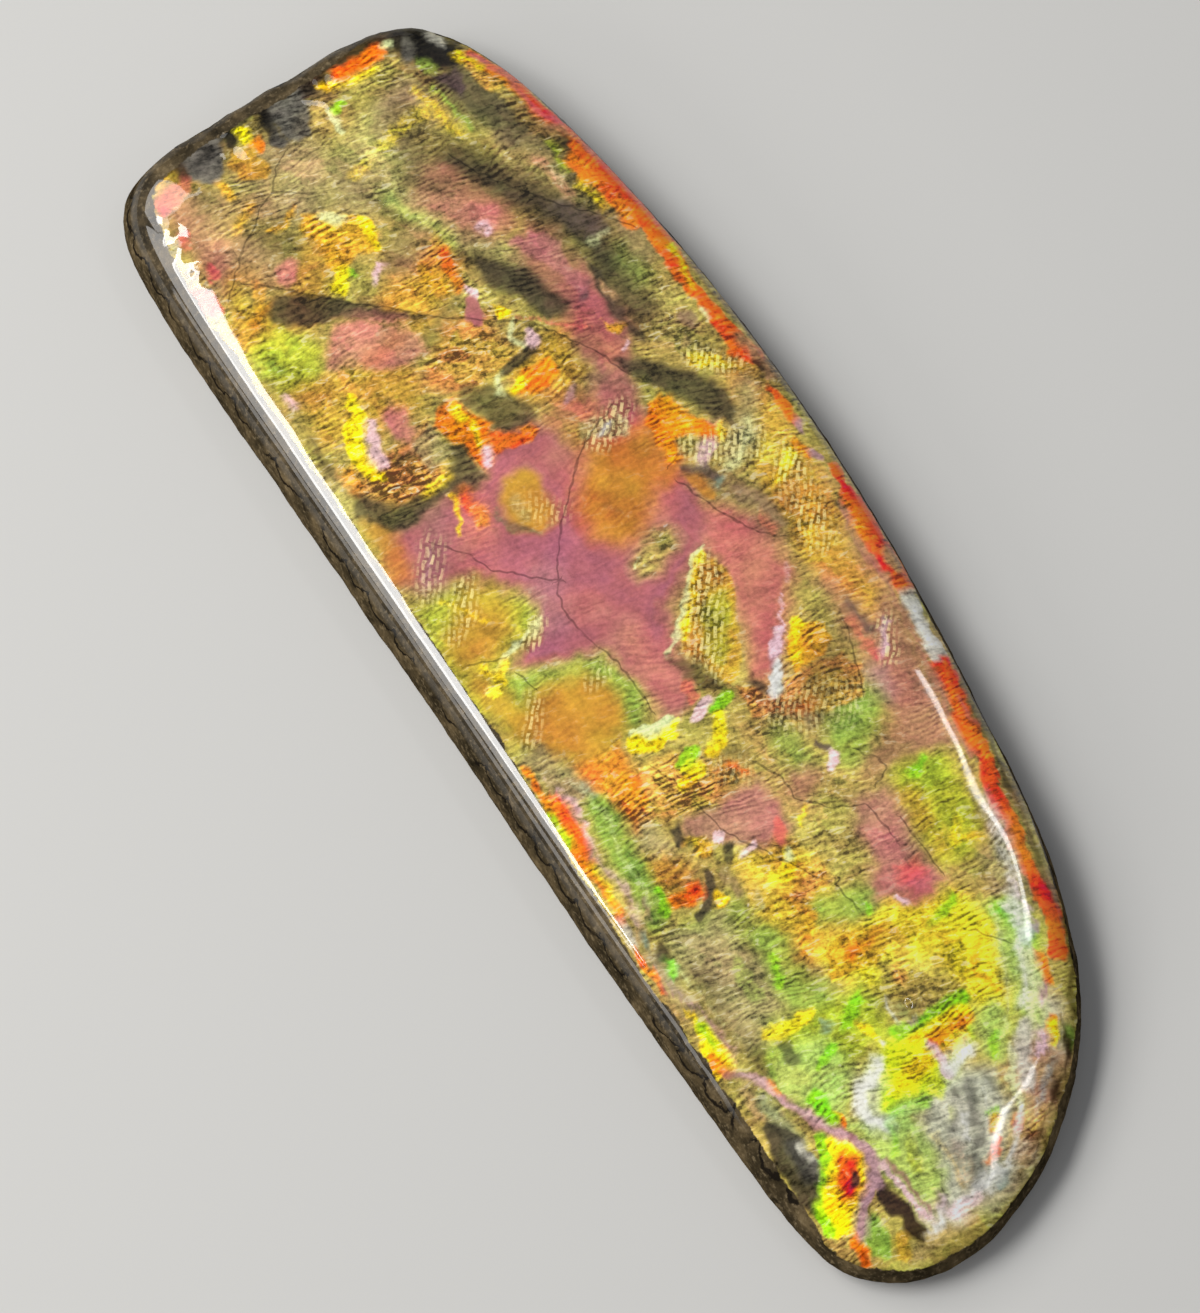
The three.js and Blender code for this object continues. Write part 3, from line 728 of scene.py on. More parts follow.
        (-6.2, 5.8)),
    ("teal", 0.25, 0.3, 0.7, (-5.1, 7.9), (-4.7, 7.4)),
    ("goldPlain", 0.45, 0.3, 0.85, (-5.8, 6.2), (-4.6, 6.8)),
    ("greyHaze", 0.6, 0.4, 0.7, (-3.8, 8.4), (-2.6, 9.2), (-1.2, 9.6)),
    ("salmon", 0.3, 0.3, 0.7, (-1.8, 8.6), (-0.8, 9)),
    ("khaki", 0.7, 0.35, 0.7, (-11.6, 2.6), (-11, 4.2)),
    ("white", 0.12, 0.15, 0.8, (-11.5, 4), (-11, 3)),
    ("limeWhite", 0.16, 0.2, 0.6, (-12, 4.6), (-11, 4.8), (-10.3, 4.3)),
    ("violet", 0.4, 0.3, 0.7, (-14, 2.9), (-13.6, 2.3)),
    ("beige", 0.2, 0.3, 0.5, (-6.9, 1.2), (-5.9, 2.6)),
    ("white", 0.14, 0.12, 0.8, (-4, 3.5)),
    ("limeWhite", 0.12, 0.15, 0.7, (-3.3, 1.7), (-2.7, 1.1)),
    ("green", 0.12, 0.2, 0.5, (-10.9, -3.5), (-9.6, -4.1), (-7.8, -3.8), (-7.1, -2.6),
        (-7.3, -1.4)),
    ("khaki", 0.5, 0.4, 0.6, (-9.6, -2.9), (-8.4, -2.8)),
    ("limeWhite", 0.3, 0.3, 0.6, (-3.2, -5.2), (-2.3, -6.1)),
    ("yellow", 0.35, 0.35, 0.6, (-6.4, -9.6), (-4.4, -7.8)),
    ("pinkWhite", 0.3, 0.4, 0.45, (-9.4, -8.8), (-7.2, -10.4)),
    ("teal", 0.3, 0.25, 0.7, (-2.3, -7.2), (-1.9, -7.6)),
    ("limeWhite", 0.3, 0.25, 0.8, (-1.6, -8), (-0.9, -8.8), (-0.4, -9.6)),
    ("yellow", 0.3, 0.3, 0.8, (-1.5, -9.2), (-0.3, -8.6)),
    # the diamond, and what lies right of it
    ("ochre", 0, 0.25, 1, (-1.2, 5), (0.2, 5.4), (2.6, 4.8), (5.6, 3.3), (5.8, 2.4), (2.8, 0.7),
        (0.8, 1.9), (-1, 3.4)),
    ("yellowGreen", 0.9, 0.4, 0.6, (1.4, 3.8), (3.6, 2.6)),
    ("yellow", 0.28, 0.2, 0.9, (-1.6, 4.6), (0.6, 2.4), (2, 1.1)),
    ("limeWhite", 0.14, 0.12, 0.8, (-2.2, 4.9), (-0.6, 3.2), (1, 1.5), (2.6, 0.2)),
    ("black", 0, 0.25, 0.7, (2.6, 0.2), (3.6, 1), (5.6, 2.4), (6, 2), (5.4, 0.8), (4, 0),
        (2.8, -0.2)),
    ("salmon", 0.35, 0.2, 0.9, (4.4, 0), (5.4, 0.2)),
    ("pinkWhite", 0.35, 0.2, 0.9, (6, 0.7), (6.5, -0.1)),
    ("lime", 0.45, 0.2, 0.95, (6.3, 1.9), (6.7, 1.1)),
    ("yellow", 0.4, 0.25, 0.95, (7.3, 1), (8.4, 0.3), (8.6, -0.4)),
    ("brownGold", 0, 0.3, 0.9, (6.8, 4.2), (7.2, 9), (8.4, 9.6), (10.2, 8.4), (9.6, 6),
        (8.6, 4.4), (8.2, 2.2), (6, 2.6)),
    ("gold", 0, 0.2, 1, (4.2, 7.8), (5, 8.7), (6.2, 9), (7, 8), (7, 6), (6, 5.8), (4.4, 6.8)),
    ("yellow", 0.3, 0.25, 0.9, (4.4, 7.7), (5, 6.9), (6.4, 6.2)),
    ("dark", 0, 0.25, 0.85, (5.8, 3.2), (6.4, 4.2), (7.3, 4.4), (7.2, 3.8), (6.4, 3.4)),
    ("pinkWhite", 0.16, 0.2, 0.8, (2.7, 7.7), (3.8, 6.8), (4.4, 6.3)),
    ("violet", 0.35, 0.2, 0.7, (4.6, 6), (6, 5.2)),
    ("pinkWhite", 0.26, 0.15, 0.95, (4.8, 5.9), (5.6, 5.5)),
    ("white", 0.28, 0.15, 0.9, (6.6, 4.9), (7.2, 4.4)),
    ("teal", 0.25, 0.2, 0.8, (6.4, 5.2), (7.1, 4.8)),
    ("pinkWhite", 0.2, 0.3, 0.6, (0.9, 8.9), (2.1, 8.4)),
    ("darkPurple", 0.4, 0.4, 0.8, (4.4, 10.4), (6.6, 11)),
    ("pinkWhite", 0.35, 0.3, 0.8, (6.8, 12), (7.6, 11.2), (8.2, 10.8)),
    ("salmon", 0.35, 0.3, 0.8, (5.6, 10.2), (8.2, 10.3)),
    ("lime", 0.35, 0.3, 0.8, (14.9, 9.6), (15.2, 8.8)),
    ("yellow", 0.35, 0.3, 0.6, (18.8, 9.8), (19.8, 9), (20.2, 10.4)),
    ("orange", 0.4, 0.3, 0.5, (9.2, 4.6), (8.8, 6)),
    ("darkPurple", 0.35, 0.2, 0.85, (10.9, 5.1), (11.5, 5.4)),
    ("teal", 0.3, 0.3, 0.5, (9.3, 5.5), (9.9, 5.3)),
    ("pinkWhite", 0.28, 0.2, 0.9, (12, 5.5), (12.5, 4.9)),
    ("yellow", 0.25, 0.25, 0.7, (13.8, 2.6), (14.6, 2)),
    ("salmon", 0.4, 0.25, 0.9, (14.2, 0.7), (15.2, 0.3)),
    ("yellow", 0.4, 0.2, 0.95, (15.8, 0.3), (16.6, -0.3), (16.4, -0.9)),
    ("limeWhite", 0.2, 0.15, 0.9, (15.7, 0.5), (16, 0.1)),
    ("brownGold", 0.6, 0.4, 0.9, (17.2, 1.4), (18.2, 0)),
    ("lime", 0.3, 0.3, 0.8, (20.4, 2.9), (20.9, 2.6)),
    ("yellow", 0, 0.2, 1, (5.7, -1), (6.8, -1.2), (7.1, -3), (6.6, -4.6), (5.8, -4.2)),
    ("limeWhite", 0.2, 0.12, 0.9, (5.7, -1.4), (5.7, -3.8)),
    ("lime", 0.4, 0.2, 0.9, (8, -1.2), (8.5, -2)),
    ("yellow", 0.4, 0.25, 0.95, (9, -1.6), (9.3, -2.6)),
    ("orange", 0.4, 0.3, 0.7, (7.6, -5.6), (9.6, -5.2)),
    ("orange", 0.35, 0.3, 0.7, (9.6, -0.2), (10.6, 0.4)),
    ("pinkWhite", 0.28, 0.15, 0.95, (12.9, -2.5), (13.3, -2.8)),
    ("pinkWhite", 0.28, 0.2, 0.9, (14.4, -1.2), (14.8, -1.7)),
    ("dark", 0.35, 0.2, 0.9, (13.8, -2.3), (14.6, -2.6)),
    ("dark", 0.35, 0.2, 0.9, (11.8, -4.1), (12.6, -4.3)),
    ("dark", 0.35, 0.2, 0.9, (15, -4.1), (15.8, -4.4), (16.4, -5.2)),
    ("gold", 0.5, 0.25, 0.9, (13, -3.7), (13.7, -3.7)),
    ("yellow", 0.3, 0.15, 0.95, (16.2, -4.2), (16.5, -4.3)),
    ("orange", 0.5, 0.25, 1, (15.3, -5.1), (15, -6.3)),
    ("teal", 0.3, 0.3, 0.6, (16.8, -2.2), (17.6, -2.5)),
    ("greyHaze", 0.4, 0.25, 0.7, (15.2, -3.1), (16.4, -3.3)),
    ("white", 0.16, 0.15, 0.8, (17.2, -3)),
    ("gold", 0.5, 0.4, 0.8, (19.4, -0.4), (20.8, -1.6)),
    ("lime", 0.35, 0.3, 0.8, (20.2, -3.4), (21.8, -3.8)),
    ("green", 0.5, 0.3, 0.6, (19.8, -5.4), (22, -5.2)),
    # towards the tip
    ("salmon", 0, 0.8, 1, (19.2, 5.2), (19.4, 7), (21, 6.8), (21.3, 5.2), (20.4, 4.8)),
    ("rose", 0.6, 0.8, 0.95, (21.4, 6.2), (21.5, 4.8)),
    ("pinkWhite", 0.2, 0.15, 0.9, (21.1, 4.4), (21.8, 4.5)),
    ("rose", 0.5, 0.4, 0.6, (19.2, 4.4), (20.4, 3.8)),
    ("gold", 0, 0.25, 0.95, (21.3, -0.8), (21.2, 1.2), (22, 3.6), (23.4, 3.8), (23.8, 1.4),
        (23.2, -1)),
    ("orange", 0.35, 0.3, 0.8, (22, 2.8), (22.6, 0.6)),
    ("orange", 0.3, 0.3, 0.6, (25.2, 7), (26.6, 6.2), (28, 6.8)),
    ("lime", 0.5, 0.4, 0.8, (22.8, 7.4), (23.3, 5.2)),
    ("brownGold", 0.6, 0.35, 0.85, (23.9, 3.2), (25, 2.4)),
    ("lime", 0.55, 0.3, 1, (27.5, 4.6), (27.8, 2.6), (27.3, 0.6)),
    ("yellow", 0.4, 0.25, 0.95, (28.3, 4.4), (28.3, 1.2)),
    ("orange", 0.5, 0.3, 0.95, (29, 4.2), (29, 2.2)),
    ("gold", 0.45, 0.3, 0.9, (29.8, 3.6), (29.9, 2)),
    ("grey", 0.6, 0.4, 0.6, (26.3, 1.4)),
    ("chalk", 0.16, 0.2, 0.8, (25.6, 1), (26.2, 0.7), (26.7, 0.9)),
    ("violet", 0.2, 0.15, 0.9, (27, 2.1), (27.1, 1.6)),
    ("pinkWhite", 0.35, 0.2, 0.9, (29.2, 1.8), (30.8, 1.9)),
    ("white", 0.45, 0.4, 0.85, (30.5, 3.6), (30.7, 2.2)),
    ("chalk", 0.3, 0.6, 0.7, (31.6, 2.8), (33, 1.2)),
    ("limeYellow", 0.8, 0.4, 0.85, (31, 0.6), (30.6, -1.6)),
    ("lime", 0.4, 0.3, 0.9, (31.8, -0.2), (31.6, -1.8)),
    ("brightYellow", 0.7, 0.4, 0.8, (29.6, 1), (30.2, -0.4)),
    ("grey", 0.6, 0.5, 0.75, (32, 2.6), (33.6, 1.8)),
    ("grey", 0.4, 0.4, 0.6, (31.6, 3.6), (33, 3.8)),
    ("dark", 0.25, 0.25, 0.6, (31.7, 1.8), (32.3, 1.4)),
    ("white", 0.2, 0.4, 0.6, (32.4, 3.3), (33.6, 3)),
    ("grey", 0.4, 0.3, 0.7, (34.4, 1.9), (35, 1.4)),
    ("chalk", 0.3, 0.25, 0.7, (34, 2.6), (35, 2.4)),
    ("yellowGreen", 0.3, 0.2, 0.8, (32.6, 1), (33, 0.9)),
    ("gold", 0.4, 0.5, 0.6, (33.6, -0.3), (37, -0.2)),
    ("orange", 0.25, 0.4, 0.5, (34.6, 0.4), (36.6, 0.2)),
    ("grey", 0.5, 0.3, 0.8, (35.8, 0.9), (37.2, 0.6)),
    ("gold", 0.35, 0.2, 0.95, (34.3, 3), (34.7, 2.6)),
    ("lime", 0.2, 0.2, 0.8, (33.9, 3.3), (33.8, 2.7)),
    ("orange", 0.4, 0.2, 0.9, (35.2, 4.1), (35.6, 3.7)),
    ("red", 0.35, 0.2, 0.9, (35.7, 2.3), (36.2, 1.6)),
    ("teal", 0.3, 0.2, 0.9, (37.2, 2), (37.8, 1.7)),
    ("limeWhite", 0.4, 0.3, 0.8, (31.6, 6), (33, 5), (34.4, 4.5)),
    ("lime", 0.35, 0.3, 0.8, (30.4, 5.6), (31.2, 4.6)),
    ("lime", 0.35, 0.25, 0.9, (28.4, 9), (29.4, 8.6)),
    ("violet", 0.35, 0.2, 0.9, (25.8, 10.2), (26.4, 10)),
    ("lime", 0.25, 0.2, 0.9, (25.9, 9.7), (26.6, 9.6)),
    ("orange", 0.35, 0.25, 0.95, (27.8, 9.9), (29.2, 9.6)),
    ("violet", 0.35, 0.2, 0.9, (29.4, 9.1), (30, 8.8)),
    ("pinkWhite", 0.2, 0.15, 0.9, (30.2, 8.6), (30.5, 8.3)),
    ("limeWhite", 0.35, 0.25, 0.8, (30.4, 7.8), (31.2, 7.3)),
    ("orange", 0.32, 0.2, 0.95, (31.5, 8.6), (32, 8.2)),
    ("green", 0.35, 0.25, 0.9, (32.5, 9), (33, 8.8)),
    ("pinkWhite", 0.32, 0.2, 0.9, (31.9, 7.6), (32.4, 7.2)),
    ("darkBrown", 0.3, 0.2, 0.8, (32.8, 8.6), (33.6, 8.2)),
    ("darkBrown", 0.35, 0.3, 0.8, (34.7, 7), (35.4, 6.6)),
    ("grey", 0.16, 0.15, 0.8, (32.4, 6.6), (33.6, 6.4), (34.8, 5.4)),
    ("darkBrown", 0.14, 0.2, 0.8, (31.4, 9.2), (33, 8.5), (34.4, 7.6), (36, 5.8), (37.4, 3.6)),
    # the next pale lines are painted reflections of a lamp in the rounded rim of the tip
    ("white", 0.16, 0.25, 0.8, (33.4, 7.2), (34.6, 6.3), (35.6, 5.2)),
    ("chalk", 0.5, 0.4, 0.85, (31, 7), (32.6, 6.2), (34, 5.6)),
    ("grey", 0.35, 0.3, 0.7, (33.2, 7.6), (35, 6)),
    ("teal", 0.3, 0.3, 0.7, (26, 10), (27.6, 9.4)),
    # painted reflection lines of a lamp along the rim towards the tip
    ("white", 0.35, 0.4, 0.75, (24.6, 10), (26.6, 9.3), (28.4, 8.5), (29.8, 7.6)),
    ("limeWhite", 0.35, 0.35, 0.8, (27.4, 9.3), (28.8, 8.9), (30.2, 8)),
    ("yellow", 0.35, 0.25, 0.9, (31.8, 8.5), (32.4, 8)),
    ("brownGold", 0.35, 0.3, 0.7, (35.6, 5.6), (36.6, 4)),
    # painted highlights along the rim of the tip
    ("white", 0.45, 0.4, 0.8, (36.8, 1.9), (37.8, 0.6), (38.1, -1.6)),
    ("white", 0.3, 0.3, 0.8, (37, -1.5), (38, -2.4), (38.6, -3.2)),
    ("white", 0.2, 0.2, 0.8, (34.6, 4.6), (36, 3.4), (37, 2.4)),
    ("chalk", 0.4, 0.5, 0.7, (32.6, 1.2), (34.6, 0.5)),
    ("white", 0.18, 0.2, 0.7, (33.2, 1.4), (34.4, 1.1)),
    ("grey", 0.2, 0.3, 0.6, (33, 1), (34.4, 0.2), (35.8, 0)),
    ("limeWhite", 0.3, 0.25, 0.7, (25, 9.9), (24, 9.9)),
    ("pinkWhite", 0.4, 0.3, 0.7, (38.2, 0.2), (38.1, -1.6)),
    ("white", 0.5, 0.5, 0.85, (28.4, -1.2), (29.1, -2.4), (30.2, -3.2), (31.2, -3), (31.9, -2.5)),
    ("limeWhite", 0.3, 0.3, 0.8, (29.8, -2.2), (30.8, -2.4)),
    ("grey", 0.18, 0.2, 0.6, (29.4, -1.8), (30.4, -2.7), (31.4, -2.3)),
    ("white", 0.22, 0.2, 0.8, (27.8, -0.4)),
    ("lime", 0.5, 0.35, 0.9, (25, -0.3), (25.8, -1.6)),
    ("teal", 0.4, 0.3, 0.7, (25.2, -2.4), (25.6, -2.6)),
    ("yellow", 0.3, 0.25, 0.8, (26.4, -1), (27.4, -0.6)),
    ("yellow", 0.5, 0.3, 0.8, (24.2, -2.8), (24.2, -5.4)),
    ("dark", 0.5, 0.35, 0.8, (25, -5), (26, -5)),
    ("lime", 0.35, 0.25, 0.85, (26.6, -3), (27.2, -4.2)),
    ("yellowGreen", 0.5, 0.3, 0.8, (33.2, -1.8), (34.4, -2.2)),
    ("violet", 0.35, 0.25, 0.6, (36.4, -1.6), (37.4, -1.7)),
    ("dark", 0.1, 0.15, 0.8, (35.6, -1.2), (37.6, -1.3)),
    ("pinkWhite", 0.22, 0.15, 0.85, (33.4, -3.8), (34.6, -3.6), (36, -3.2), (37.6, -2.7)),
    ("darkBrown", 0, 0.2, 1, (34.2, -4.3), (36, -3.5), (38, -3.1), (38.7, -3.8), (37.6, -4.2),
        (36.6, -4.2), (35.8, -4.8), (34.8, -4.7)),
    ("orange", 0.32, 0.2, 0.95, (29.9, -4.6), (30.6, -4.5)),
    ("lime", 0.5, 0.3, 1, (28.6, -5.2), (29.8, -5)),
    ("lime", 0.3, 0.3, 0.7, (32, -2.4), (33.4, -3)),
    ("green", 0, 0.3, 1, (35.6, -5.2), (37.8, -5), (38.4, -6), (37.4, -6.8), (35.8, -6.6)),
    ("ochre", 0.5, 0.3, 0.9, (37.8, -4.6), (38.6, -5)),
    ("yellow", 0, 0.2, 1, (30.8, -5.3), (31.8, -4.7), (33, -4.3), (34, -4.7), (34.8, -5.6),
        (35.4, -6.4), (36.2, -7.2), (36, -7.9), (35, -8.1), (33.8, -7.7), (33, -7), (31.8, -6.5),
        (30.6, -6.2)),
    ("orange", 0, 0.25, 1, (31.8, -5.4), (33.2, -5), (34.4, -5.8), (34.6, -6.8), (33.2, -6.4),
        (32, -6)),
    ("red", 0.3, 0.2, 0.9, (32.8, -5.2), (34, -5.9)),
    ("violet", 0.36, 0.2, 0.95, (31, -5), (32, -4.5), (33.2, -4.2), (34.2, -4.4)),
    ("mauve", 0.2, 0.2, 0.8, (33.4, -3.5), (35.2, -3), (37, -2.4)),
    ("violet", 0.34, 0.2, 0.95, (34.4, -4.9), (35.5, -5.9), (36.3, -6.9)),
    ("lime", 0.28, 0.15, 0.95, (30.4, -6), (31.8, -6.4), (33, -7.2), (34, -7.9), (35.6, -8)),
    ("dark", 0.25, 0.15, 0.9, (33.3, -5.4), (33.7, -5.5)),
    ("orange", 0.35, 0.2, 0.95, (36.6, -7.2), (38, -7)),
    ("mauve", 0.32, 0.25, 0.85, (27.6, -6.6), (28.6, -6.3), (29.8, -5.7), (30.8, -5.1),
        (31.4, -4.7)),
    # lower layers along the straight edge
    ("dark", 0.1, 0.12, 0.6, (1.6, -10.1), (3, -9.5), (4, -8.9), (4.8, -8.1), (6, -7.5),
        (7.6, -6.9), (8.6, -6.5), (11, -6.6), (12.2, -6.4)),
    ("teal", 0.35, 0.3, 0.6, (6.8, -7.8), (7.8, -7.5)),
    ("lime", 0.35, 0.25, 0.9, (13.9, -7.1), (15.5, -7)),
    ("greyHaze", 0.3, 0.25, 0.8, (14, -8), (15.6, -8)),
    ("beige", 0.5, 0.3, 0.8, (15.2, -8.6), (16, -9)),
    ("mauve", 0.2, 0.2, 0.8, (7, -8.9), (8.6, -8.9), (9.8, -9.3), (11, -9.4), (12.2, -9),
        (13.4, -8.7), (14.8, -9.1)),
    ("redOrange", 0.35, 0.2, 0.95, (6.8, -9.4), (9.6, -9.5), (11, -9.9)),
    ("orange", 0.3, 0.2, 0.95, (4.2, -10), (6.8, -9.9), (10.4, -10), (14.8, -9.7)),
    ("lime", 0.22, 0.2, 0.85, (7.6, -10.1), (9.5, -10.1)),
    ("yellow", 0.25, 0.2, 0.8, (11.4, -9.6), (13.2, -9.6)),
    ("chalk", 0.28, 0.2, 0.8, (15, -9.8), (16.2, -9.7)),
    ("teal", 0.28, 0.2, 0.8, (16.3, -8.9), (16.7, -9)),
    ("orange", 0.2, 0.15, 0.9, (16.6, -9.8), (18.2, -9.7)),
    ("darkBrown", 0.4, 0.25, 0.85, (17.2, -8.1), (17.8, -8.4)),
    ("lime", 0.35, 0.2, 0.9, (18.2, -8.2), (18.7, -8.4)),
    ("orange", 0.25, 0.2, 0.9, (18.2, -9.4), (19.4, -9.5)),
    ("darkBrown", 0.4, 0.8, 0.65, (18.8, -7.4), (22, -6.8), (24, -6.3), (25, -6.7), (25.4, -7.2)),
    ("green", 0.35, 0.25, 0.8, (25.8, -6.5), (26.8, -6.5)),
    ("violet", 0.22, 0.3, 0.6, (19.2, -8.9), (20.4, -8.5), (21.4, -8.3), (23, -7.7),
        (24.2, -7.5)),
    ("yellow", 0, 0.2, 1, (20.6, -9.3), (21.4, -8.8), (23, -8.2), (24, -7.8), (25, -7.8),
        (25.5, -8.8), (25.3, -9.3), (23.6, -9.4)),
    ("lime", 0.3, 0.2, 0.8, (22, -9), (23.4, -8.5)),
    ("orange", 0.32, 0.2, 0.95, (23.9, -8.9), (25.1, -8.7)),
    ("mauve", 0.15, 0.2, 0.7, (19, -9.4), (20.2, -9.1), (21.2, -8.5), (22.6, -8.1), (24.2, -7.7)),
    ("mauve", 0.36, 0.25, 0.85, (25.3, -8.7), (26, -7.8), (26.8, -7), (27.6, -6.5)),
    ("orange", 0.22, 0.15, 0.95, (26.6, -7), (27.2, -6.6)),
    ("beige", 0.4, 0.3, 0.8, (26.2, -8.4), (28.2, -8.3)),
    ("dark", 0, 0.25, 0.95, (28.4, -8), (30, -6.8), (31.8, -6.7), (33.2, -7.4), (34.4, -8.2),
        (33.6, -8.9), (31, -9), (28.8, -8.8)),
    ("grey", 0.5, 0.3, 0.8, (30.6, -7.4), (32.4, -7.6)),
    ("black", 0.25, 0.2, 0.7, (30.4, -7.6), (32.6, -7.8)),
    ("chalk", 0.2, 0.2, 0.6, (30.4, -7.1), (31.6, -7.1)),
    ("pinkWhite", 0.14, 0.3, 0.75, (5.4, -9.2), (7.4, -8.7), (9.4, -8.9), (11, -9.1),
        (12.6, -8.7), (14.2, -8.6), (15.4, -9)),
    ("limeWhite", 0.16, 0.3, 0.6, (6.2, -8.2), (9.4, -7.6), (12, -7.9), (14.6, -7.7)),
    ("violet", 0.13, 0.3, 0.75, (17.4, -9.2), (19.6, -8.8), (21.6, -8.2), (24, -7.6),
        (25.4, -8.2)),
    ("pinkWhite", 0.12, 0.3, 0.75, (25.6, -8.2), (26.6, -7.2), (28.4, -6.3), (30.2, -5.4),
        (31.2, -4.8)),
    ("limeWhite", 0.14, 0.3, 0.6, (18.4, -8), (20.6, -7.9), (22.4, -7.4)),
    # broken rim of the square end
    ("redOrange", 0.45, 0.2, 1, (-37.9, 3.2), (-37.8, 0.4)),
    ("olive", 0.6, 0.4, 0.9, (-36.8, 3.6), (-36.7, 0.5)),
    ("yellow", 0.2, 0.25, 0.9, (-37.2, 2.6), (-37, 0.3)),
    ("oliveDark", 0.4, 0.25, 0.8, (-36.6, 0.2), (-36.8, -1.6)),
    ("limeWhite", 0.22, 0.15, 0.9, (-38, 4), (-38, 3.7)),
    ("yellow", 0.35, 0.2, 0.95, (-37.4, -0.1), (-37.6, -0.6)),
    ("lime", 0.22, 0.2, 0.9, (-36, -0.5), (-35.8, -0.8)),
    ("limeWhite", 0.22, 0.2, 0.8, (-35.8, -1.2), (-34.5, -0.9)),
    ("black", 0, 0.3, 0.9, (-38.5, 4.6), (-38.2, 6.1), (-36.7, 7.2), (-35.6, 7.7), (-34.6, 7),
        (-35.4, 5.8), (-36.6, 4.4), (-37.6, 4)),
    ("darkPurple", 0, 0.3, 0.9, (-35.2, 5.2), (-34.8, 6.8), (-33.4, 6.8), (-33, 6.2),
        (-33.8, 5.4)),
    ("chalk", 0.26, 0.25, 0.7, (-37.5, 6.4), (-37, 6.7)),
    ("green", 0.4, 0.25, 0.7, (-36, 5.3), (-35.5, 5.5)),
    ("grey", 0.3, 0.25, 0.8, (-37.6, 5), (-36.6, 4.6)),
    ("yellow", 0.4, 0.2, 0.95, (-35.4, 7.2), (-34.8, 7.6)),
    ("grey", 0, 0.3, 0.9, (-38.6, -2), (-38.4, -4.2), (-35.4, -4.1), (-35, -2.6), (-36.4, -2)),
    ("black", 0.4, 0.3, 0.9, (-38.2, -4.5), (-35.6, -4.4)),
    ("oliveDark", 0.35, 0.25, 0.8, (-37.6, -5.3), (-36.4, -5.4)),
    ("orange", 0.36, 0.2, 0.95, (-36.1, -5.7), (-35.7, -5.4)),
    ("yellow", 0.4, 0.2, 1, (-37.2, -6.3), (-36.6, -6.2)),
    ("ochre", 0, 0.25, 0.95, (-36.4, -7.4), (-36, -5.9), (-34.6, -5.6), (-34, -6.6),
        (-34.8, -7.6)),
    ("black", 0.35, 0.2, 0.9, (-37.4, -7.1), (-36.7, -7)),
    ("grey", 0, 0.3, 0.95, (-38.4, -7.6), (-37.6, -10.4), (-35.6, -10.2), (-35, -8.6),
        (-35.8, -7.6)),
    ("black", 0.3, 0.3, 0.7, (-36.9, -8.4), (-36.6, -9.6)),
    ("gold", 0.35, 0.3, 0.85, (-34.9, -8.4), (-33.9, -8.6)),
    ("darkBrown", 0.4, 0.3, 0.9, (-37.4, -10.6), (-36.2, -10.8)),
    ("ochre", 0.4, 0.3, 0.9, (-36.9, -11.6), (-36.6, -12.3)),
    ("salmon", 0.6, 0.3, 0.9, (-35.8, -11), (-35.2, -12.4)),
    ("salmon", 0.4, 0.25, 0.9, (-33, -12.1), (-32.4, -12.4)),
    ("salmon", 0.4, 0.25, 0.9, (-30.7, -12), (-30, -12.1)),
    # bowed rim, from the square end to the tip
    ("oliveDark", 0.4, 0.25, 0.8, (-21, 12.5), (-17, 13.1), (-13, 13.5), (-9, 13.9)),
    ("darkBrown", 0.3, 0.25, 0.7, (11, 14.2), (15, 13.8), (18, 13.4), (21, 13), (24.6, 12.3),
        (28, 11.6), (32, 9.8)),
    ("beige", 0.25, 0.25, 0.6, (19, 13.2), (21.4, 12.9)),
    ("beige", 0.25, 0.25, 0.6, (23.4, 12.8), (25.6, 12.3)),
    ("orange", 0.55, 0.2, 0.95, (-35, 7.9), (-33, 8.8), (-31, 9.6), (-29, 10.3), (-27, 10.9)),
    ("salmon", 0.25, 0.15, 0.95, (-35, 8), (-33, 8.9), (-31, 9.5), (-30.2, 9.9), (-29, 10.2)),
    ("brownGold", 0.3, 0.2, 0.9, (-34.4, 7.4), (-32.2, 8.2)),
    ("oliveDark", 0.5, 0.3, 0.9, (-31.6, 8.4), (-29.8, 9.2), (-27.4, 9.5)),
    ("beige", 0.2, 0.2, 0.8, (-29, 9.8), (-28, 10.4)),
    ("darkBrown", 0.3, 0.2, 0.8, (-28, 10), (-26.4, 10.1)),
    ("orange", 0.5, 0.3, 0.9, (-26.4, 10.1), (-24, 10.7), (-21, 11.2)),
    ("yellow", 0.3, 0.3, 0.7, (-25, 9.7), (-23, 10)),
    ("yellowGreen", 0.3, 0.3, 0.8, (-27.6, 9.2), (-26, 9.3)),
    ("redOrange", 0.52, 0.15, 1, (-27.2, 10.7), (-25, 11.3), (-22.6, 11.8), (-20.2, 12),
        (-17, 12), (-14, 12.3), (-12, 12.6), (-10.6, 13)),
    ("salmon", 0.14, 0.12, 0.8, (-27, 11), (-25, 11.7), (-22.6, 12.2), (-20.6, 12.4)),
    ("yellow", 0.14, 0.15, 0.8, (-19, 12.1), (-17.6, 12.3), (-16.4, 12.1)),
    ("limeWhite", 0.2, 0.15, 0.8, (-14.6, 11.8), (-14.2, 11.8)),
    ("beige", 0.25, 0.2, 0.9, (-12.2, 12.9), (-10.6, 13.2), (-9.2, 13.5)),
    ("darkBrown", 0.22, 0.15, 0.9, (-10.4, 12.9), (-9.5, 13.1)),
    ("redOrange", 0.26, 0.15, 0.95, (-8.6, 13.2), (-6, 13.5)),
    ("violet", 0.25, 0.15, 0.9, (-5.8, 13.6), (-5.4, 13.6)),
    ("orange", 0.3, 0.2, 0.9, (-5.2, 12.9), (-4, 13)),
    ("violet", 0.25, 0.15, 0.9, (-4, 13.4), (-3.4, 13.4)),
    ("redOrange", 0.3, 0.15, 0.95, (-2.6, 13.8), (-0.8, 13.9)),
